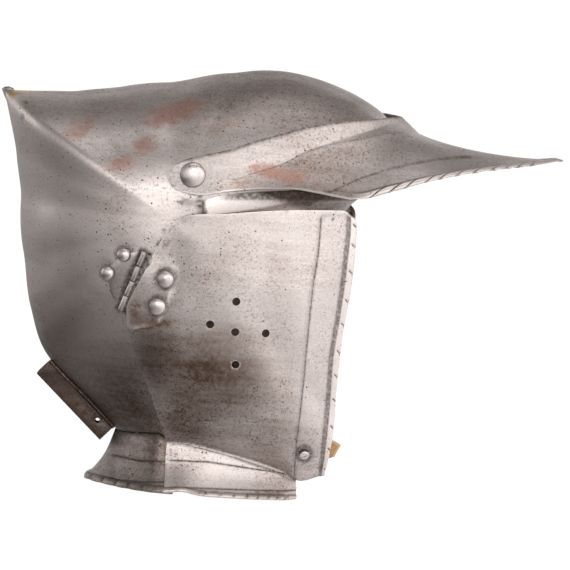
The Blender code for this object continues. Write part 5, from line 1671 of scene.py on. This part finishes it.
class Barrel:
    """The right-hand hinge's own frame: up the barrel, outward and forward."""

    def __init__(self):
        self.centre = Vector(HINGE_CENTRE)
        self.up = Vector(HINGE_UP).normalized()
        normal = seat(self.centre.x, self.centre.z, skull_width)[1]
        self.out = (normal - self.up * normal.dot(self.up)).normalized()
        self.forward = self.up.cross(self.out)

    def point(self, along, forward=0.0, out=0.0):
        return self.centre + self.up * along + self.forward * forward + self.out * out

    def knuckle(self, index):
        """One rolled knuckle: rounded edges, a painted highlight on its outer side, dark ends, and painted
        shade on its side towards the cheekpiece.
        """
        length = (2 * HINGE_HALF - (KNUCKLES - 1) * KNUCKLE_GAP) / KNUCKLES
        middle = self.point(HINGE_HALF - length / 2 - index * (length + KNUCKLE_GAP))
        deselect()
        bpy.ops.mesh.primitive_cylinder_add(vertices=32, radius=BARREL_RADIUS * MM, depth=length * MM)
        roll = made("knuckle")
        apply_modifier(roll, "BEVEL", width=0.35 * MM, segments=3, limit_method="ANGLE")
        roll.data.transform(row_matrix(middle, self.up))
        turn = REST.to_3x3()
        axis, up = Vector(to_row(middle)[0]), (turn @ self.up).normalized()
        facing = (turn @ (self.out - 0.7 * self.forward)).normalized()
        ahead = (turn @ self.forward).normalized()
        near_end = 0.96 * 0.5 * length * MM

        def radial(place):
            offset = place - axis
            return (offset - up * offset.dot(up)).normalized()

        # Dark at the knuckle's ends, and painted shade over its side that faces forward, towards the
        # cheekpiece.
        def dirt_and_shade(place):
            if abs((place - axis).dot(up)) > near_end:
                return 0.9
            return 0.9 * float(smoothstep((radial(place).dot(ahead) - 0.15) / 0.5))

        add_mask(roll, "dirt_and_shade", dirt_and_shade)
        # Painted highlight over the side turned outward and back.
        add_mask(roll, "wear_and_sheen", lambda place: max(0.0, radial(place).dot(facing)) ** 3)
        add_mask(roll, "stain_and_shade", lambda place: 0.3)
        return roll


def leaf_plate(name, barrel, width_at, widths, sign, lift, first_out, fade):
    """A hinge leaf feathered onto the plate it is riveted to."""
    along = np.linspace(-1.0, 1.0, LEAF_ROWS)
    across = np.linspace(0.0, 1.0, LEAF_COLUMNS)
    reach = HINGE_HALF - KNUCKLE_GAP
    width = smooth_table(list(zip(np.linspace(-1.0, 1.0, len(widths)), widths)))(along)
    grid = np.empty((LEAF_ROWS, LEAF_COLUMNS, 3))
    for i, a in enumerate(along):
        root = barrel.point(a * reach, sign * LEAF_ROOT, first_out)
        for j, share in enumerate(across):
            out = sign * (LEAF_ROOT + (width[i] - LEAF_ROOT) * share)
            at = barrel.point(a * reach * (1.0 - 0.25 * share), out)
            edge = min(1.0 - share, (1.0 - abs(a)) * 1.4)
            rise = lift * (0.04 + 0.96 * float(smoothstep(edge / 0.28)))
            rise = rise * (1.0 - fade * float(smoothstep(share / 0.5)))
            seated = Vector((at.x, -float(width_at(at.x, at.z)), at.z))
            over = seated + outward(at.x, at.z, width_at) * (0.15 + rise)
            hug = float(smoothstep(share / 0.18))
            grid[i, j] = root * (1.0 - hug) + over * hug
    every_row = np.ones((LEAF_ROWS, 1))
    masks = {
        # Painted shade in the slot beside the barrel, with some rust.
        "dirt_and_shade": every_row * np.exp(-((across / 0.3) ** 4)),
        "rust": every_row * 0.5 * bell(across, 0.25),
        "pits": np.full(grid.shape[:2], 0.1),
    }
    leaf = plate(name, grid, masks)
    thicken(leaf, 0.9)
    return leaf


def build_hinges():
    barrel = Barrel()
    material = steel("hinge_steel")
    for part, (widths, knuckles, *seating) in HINGE_LEAVES.items():
        leaf = leaf_plate(f"hinge_{part}_leaf", barrel, SURFACES[part], widths, *seating)
        right = join([leaf, *map(barrel.knuckle, knuckles)], f"hinge_{part}_right_leaf")
        smooth(right, 45.0)
        left = mirror(own_copy(right, f"hinge_{part}_left_leaf"))
        for side, obj in (("right", right), ("left", left)):
            dress(obj, material, owner(part, side), "hinge_steel", f"hinge_{part}_{side}")
    material = steel("pin_steel")
    for side in SIDES:
        pin = frame["nodes"][f"hinge_pin_{side}"]
        pin.data.materials.clear()
        pin.data.materials.append(material)


def build_strap():
    """The torn end of the chin strap, behind the right cheekpiece."""
    cosine, sine = math.cos(STRAP_TILT), math.sin(STRAP_TILT)
    grid = np.empty((STRAP_COLUMNS, STRAP_ROWS, 3))
    for k in range(STRAP_ROWS):
        for j in range(STRAP_COLUMNS):
            share = j / (STRAP_COLUMNS - 1) - 0.5
            end = float(np.interp(share, *STRAP_END)) + 0.6 * noise.noise((share * 9.0, 4.0, 0.0))
            ahead = STRAP_START + (end - STRAP_START) * k / (STRAP_ROWS - 1)
            across = STRAP_WIDTH * share
            x = STRAP_MIDDLE[0] + ahead * cosine - across * sine
            z = STRAP_MIDDLE[1] + ahead * sine + across * cosine
            width = float(cheek_width(x, z, -WALL - 0.9))
            if width < 30.0 or k > STRAP_ROWS * 0.72:
                grid[j, k] = 2.0 * grid[j, k - 1] - grid[j, k - 2]
            else:
                grid[j, k] = (x, -width, z)
    wear_and_sheen = np.full(grid.shape[:2], 0.15)
    wear_and_sheen[:, -3:] = 1.0
    strap = plate("strap_end", grid, {"wear_and_sheen": wear_and_sheen})
    thicken(strap, 1.7)
    apply_modifier(strap, "BEVEL", width=0.3 * MM, segments=2, limit_method="ANGLE")
    smooth(strap)
    dress(strap, tan_leather(), "cheek_right", "strap_leather", "strap_stub")


def build_plume_holder():
    """The slanted socket on the nape: its own solid, rounded and rusted."""
    holder = own_copy(frame["nodes"]["plume_holder"], "plume_holder_body")
    holder.parent = None
    holder.matrix_world = Matrix.Identity(4)
    merge(holder, 0.00001)
    edit_mesh(holder, lambda: bpy.ops.mesh.dissolve_limited(angle_limit=math.radians(1.0)))
    sharp = math.radians(40.0)
    apply_modifier(holder, "BEVEL", width=0.45 * MM, segments=2, limit_method="ANGLE", angle_limit=sharp)
    smooth(holder, 45.0)
    for key in ("stain_and_shade", "pits", "rust"):
        add_mask(holder, key, lambda place: 0.5)
    dress(holder, steel("holder_steel"), "skull", "holder_steel", "plume_holder")


def glossy_floor(w):
    """What polished steel sees of the floor: bright in front of the helmet, dark behind it."""
    place = w.add("ShaderNodeTexCoord").outputs["Object"]
    where = w.fill(w.add("ShaderNodeSeparateXYZ"), Vector=place).outputs
    along = w.spread(where["X"], -0.26, 0.12, 0.08, 1.0)
    across = w.spread(where["Y"], -0.1, 0.5, 0.0, 0.25)
    away = w.add("ShaderNodeVectorMath", operation="LENGTH")
    w.link(place, away.inputs[0])
    far = w.spread(away.outputs["Value"], 0.4, 2.5, 0.0, 1.0)
    side = w.spread(w.plus(where["X"], w.times(where["Y"], -1.0)), -1.5, 1.5, 0.5, 1.3)
    return w.plus(w.times(w.plus(along, across), w.minus(1.0, far)), w.times(side, far))


def build_stage():
    settings = bpy.context.scene.burgonet_stage
    bpy.context.scene.view_settings.view_transform = "Standard"
    deselect()
    bpy.ops.mesh.primitive_plane_add(size=FLOOR_SIZE, location=(0.0, 0.0, 0.0))
    floor = bpy.context.active_object
    floor.name = "floor"
    material, w, shader = new_material("pale_floor")
    shader.inputs["Base Color"].default_value = (*settings.floor_colour, 1.0)
    shader.inputs["Roughness"].default_value = 0.9
    shader.inputs["Specular IOR Level"].default_value = 0.1
    shown = w.fill(w.add("ShaderNodeEmission"), Color=WHITE, Strength=FLOOR_SHOWN)
    reflected = w.fill(w.add("ShaderNodeEmission"), Strength=glossy_floor(w))
    lit = w.mix(FLOOR_SHOWN_SHARE, shader, shown)
    seen_or_not = w.mix(w.add("ShaderNodeLightPath").outputs["Is Camera Ray"], reflected, lit)
    w.link(seen_or_not.outputs[0], material.node_tree.nodes["Material Output"].inputs["Surface"])
    floor.data.materials.append(material)
    build_world()
    for name, (place, width, height, watts) in SOFT_BOXES.items():
        soft_box(name, place, width, height, watts)
    build_camera(settings)


def build_world():
    """Pale to the camera; to polished steel, a room that is bright at head height in front of the helmet."""
    world = bpy.data.worlds.new("studio")
    bpy.context.scene.world = world
    world.use_nodes = True
    w = Wiring(world.node_tree)
    ray = w.add("ShaderNodeTexCoord").outputs["Generated"]
    towards = w.fill(w.add("ShaderNodeSeparateXYZ"), Vector=ray).outputs
    facing = w.plus(w.times(towards["X"], 0.85), w.times(towards["Y"], -0.6))
    front = w.spread(facing, -0.45, 0.95, 0.0, 1.25)
    back = w.spread(towards["Y"], 0.3, 0.9, 0.0, 0.5)
    level = w.spread(towards["Z"], 0.36, 0.66, 1.0, 0.0)
    room = w.times(w.plus(0.46, w.plus(front, back)), level)
    room = w.plus(room, w.times(w.minus(1.0, level), 0.3))
    shown = w.add("ShaderNodeLightPath").outputs["Is Camera Ray"]
    strength = w.plus(w.times(room, w.minus(1.0, shown)), shown)
    w.fill(world.node_tree.nodes["Background"], Color=WHITE, Strength=strength)


def soft_box(name, place, width, height, watts):
    """A rectangular area light turned to the helmet."""
    light = bpy.data.lights.new(name, "AREA")
    light.shape = "RECTANGLE"
    light.size = width
    light.size_y = height
    light.energy = watts
    obj = bpy.data.objects.new(name, light)
    bpy.context.collection.objects.link(obj)
    obj.location = place
    obj.rotation_euler = (Vector(LIT_POINT) - Vector(place)).to_track_quat("-Z", "Y").to_euler()


def build_camera(settings):
    """A long lens level with the helmet's own frame, seen square from its right, a little from above."""
    camera = bpy.data.cameras.new("photo_view")
    camera.sensor_width = SENSOR_WIDTH
    camera.lens = SENSOR_WIDTH * settings.lens_distance / settings.frame_width
    camera.clip_end = 100.0
    obj = bpy.data.objects.new("photo_view", camera)
    bpy.context.collection.objects.link(obj)
    turn = Euler((CAMERA_TILT, 0.0, 0.0)).to_matrix()
    target = Vector((VIEW_CENTRE[0], 0.0, VIEW_CENTRE[1] - SIDE_REACH * VIEW_RISE * MM))
    back = turn @ Vector((0.0, 0.0, settings.lens_distance))
    obj.matrix_world = REST @ Matrix.Translation(target + back) @ turn.to_4x4()
    bpy.context.scene.camera = obj


class BURGONET_OT_skull(bpy.types.Operator):
    """Beat out the keeled bowl with its nape collar"""

    bl_idname = "burgonet.skull"
    bl_label = "Skull"

    def execute(self, context):
        build_skull()
        return {"FINISHED"}


class BURGONET_OT_brow_band(bpy.types.Operator):
    """Lay the strip across the forehead"""

    bl_idname = "burgonet.brow_band"
    bl_label = "Brow Band"

    def execute(self, context):
        build_brow_band()
        return {"FINISHED"}


class BURGONET_OT_peak(bpy.types.Operator):
    """Shape the pivoted peak with its roped edge"""

    bl_idname = "burgonet.peak"
    bl_label = "Peak"

    def execute(self, context):
        build_peak()
        return {"FINISHED"}


class BURGONET_OT_cheeks(bpy.types.Operator):
    """Shape both cheekpieces with their throat collars"""

    bl_idname = "burgonet.cheeks"
    bl_label = "Cheekpieces"

    def execute(self, context):
        build_cheeks()
        return {"FINISHED"}


class BURGONET_OT_hinges(bpy.types.Operator):
    """Roll the hinge knuckles and fit their leaves"""

    bl_idname = "burgonet.hinges"
    bl_label = "Hinges"

    def execute(self, context):
        build_hinges()
        return {"FINISHED"}


class BURGONET_OT_rivets(bpy.types.Operator):
    """Set the domed rivets, the pivots and the chin rivets"""

    bl_idname = "burgonet.rivets"
    bl_label = "Rivets"

    def execute(self, context):
        build_rivets()
        return {"FINISHED"}


class BURGONET_OT_strap(bpy.types.Operator):
    """Cut the torn leather end"""

    bl_idname = "burgonet.strap"
    bl_label = "Strap End"

    def execute(self, context):
        build_strap()
        return {"FINISHED"}


class BURGONET_OT_plume_holder(bpy.types.Operator):
    """Finish the socket on the nape"""

    bl_idname = "burgonet.plume_holder"
    bl_label = "Plume Holder"

    def execute(self, context):
        build_plume_holder()
        return {"FINISHED"}


class BURGONET_OT_stage(bpy.types.Operator):
    """Set up floor, light and camera"""

    bl_idname = "burgonet.stage"
    bl_label = "Stage"

    def execute(self, context):
        build_stage()
        return {"FINISHED"}


OPERATORS = (
    BURGONET_OT_skull,
    BURGONET_OT_brow_band,
    BURGONET_OT_peak,
    BURGONET_OT_cheeks,
    BURGONET_OT_hinges,
    BURGONET_OT_rivets,
    BURGONET_OT_strap,
    BURGONET_OT_plume_holder,
    BURGONET_OT_stage,
)


class BURGONET_PT_pieces(bpy.types.Panel):
    """Lists the pieces and the sizes they are made to"""

    bl_idname = "BURGONET_PT_pieces"
    bl_label = "Burgonet"
    bl_space_type = "VIEW_3D"
    bl_region_type = "UI"
    bl_category = "Burgonet"

    def draw(self, context):
        for operator in OPERATORS:
            self.layout.operator(operator.bl_idname)
        for name in SETTINGS:
            settings = getattr(context.scene, name)
            for key in settings.bl_rna.properties.keys():
                if key not in ("rna_type", "name"):
                    self.layout.prop(settings, key)


SETTINGS = {"burgonet_plates": PlateSizes, "burgonet_colours": SteelColours, "burgonet_stage": StageSettings}
CLASSES = (*SETTINGS.values(), *OPERATORS, BURGONET_PT_pieces)


def register():
    for cls in CLASSES:
        bpy.utils.register_class(cls)
    for name, cls in SETTINGS.items():
        setattr(bpy.types.Scene, name, bpy.props.PointerProperty(type=cls))


def unregister():
    for name in SETTINGS:
        delattr(bpy.types.Scene, name)
    for cls in reversed(CLASSES):
        bpy.utils.unregister_class(cls)


def main():
    register()
    for operator in OPERATORS:
        getattr(bpy.ops.burgonet, operator.bl_idname.split(".")[1])()


if __name__ == "__main__":
    main()
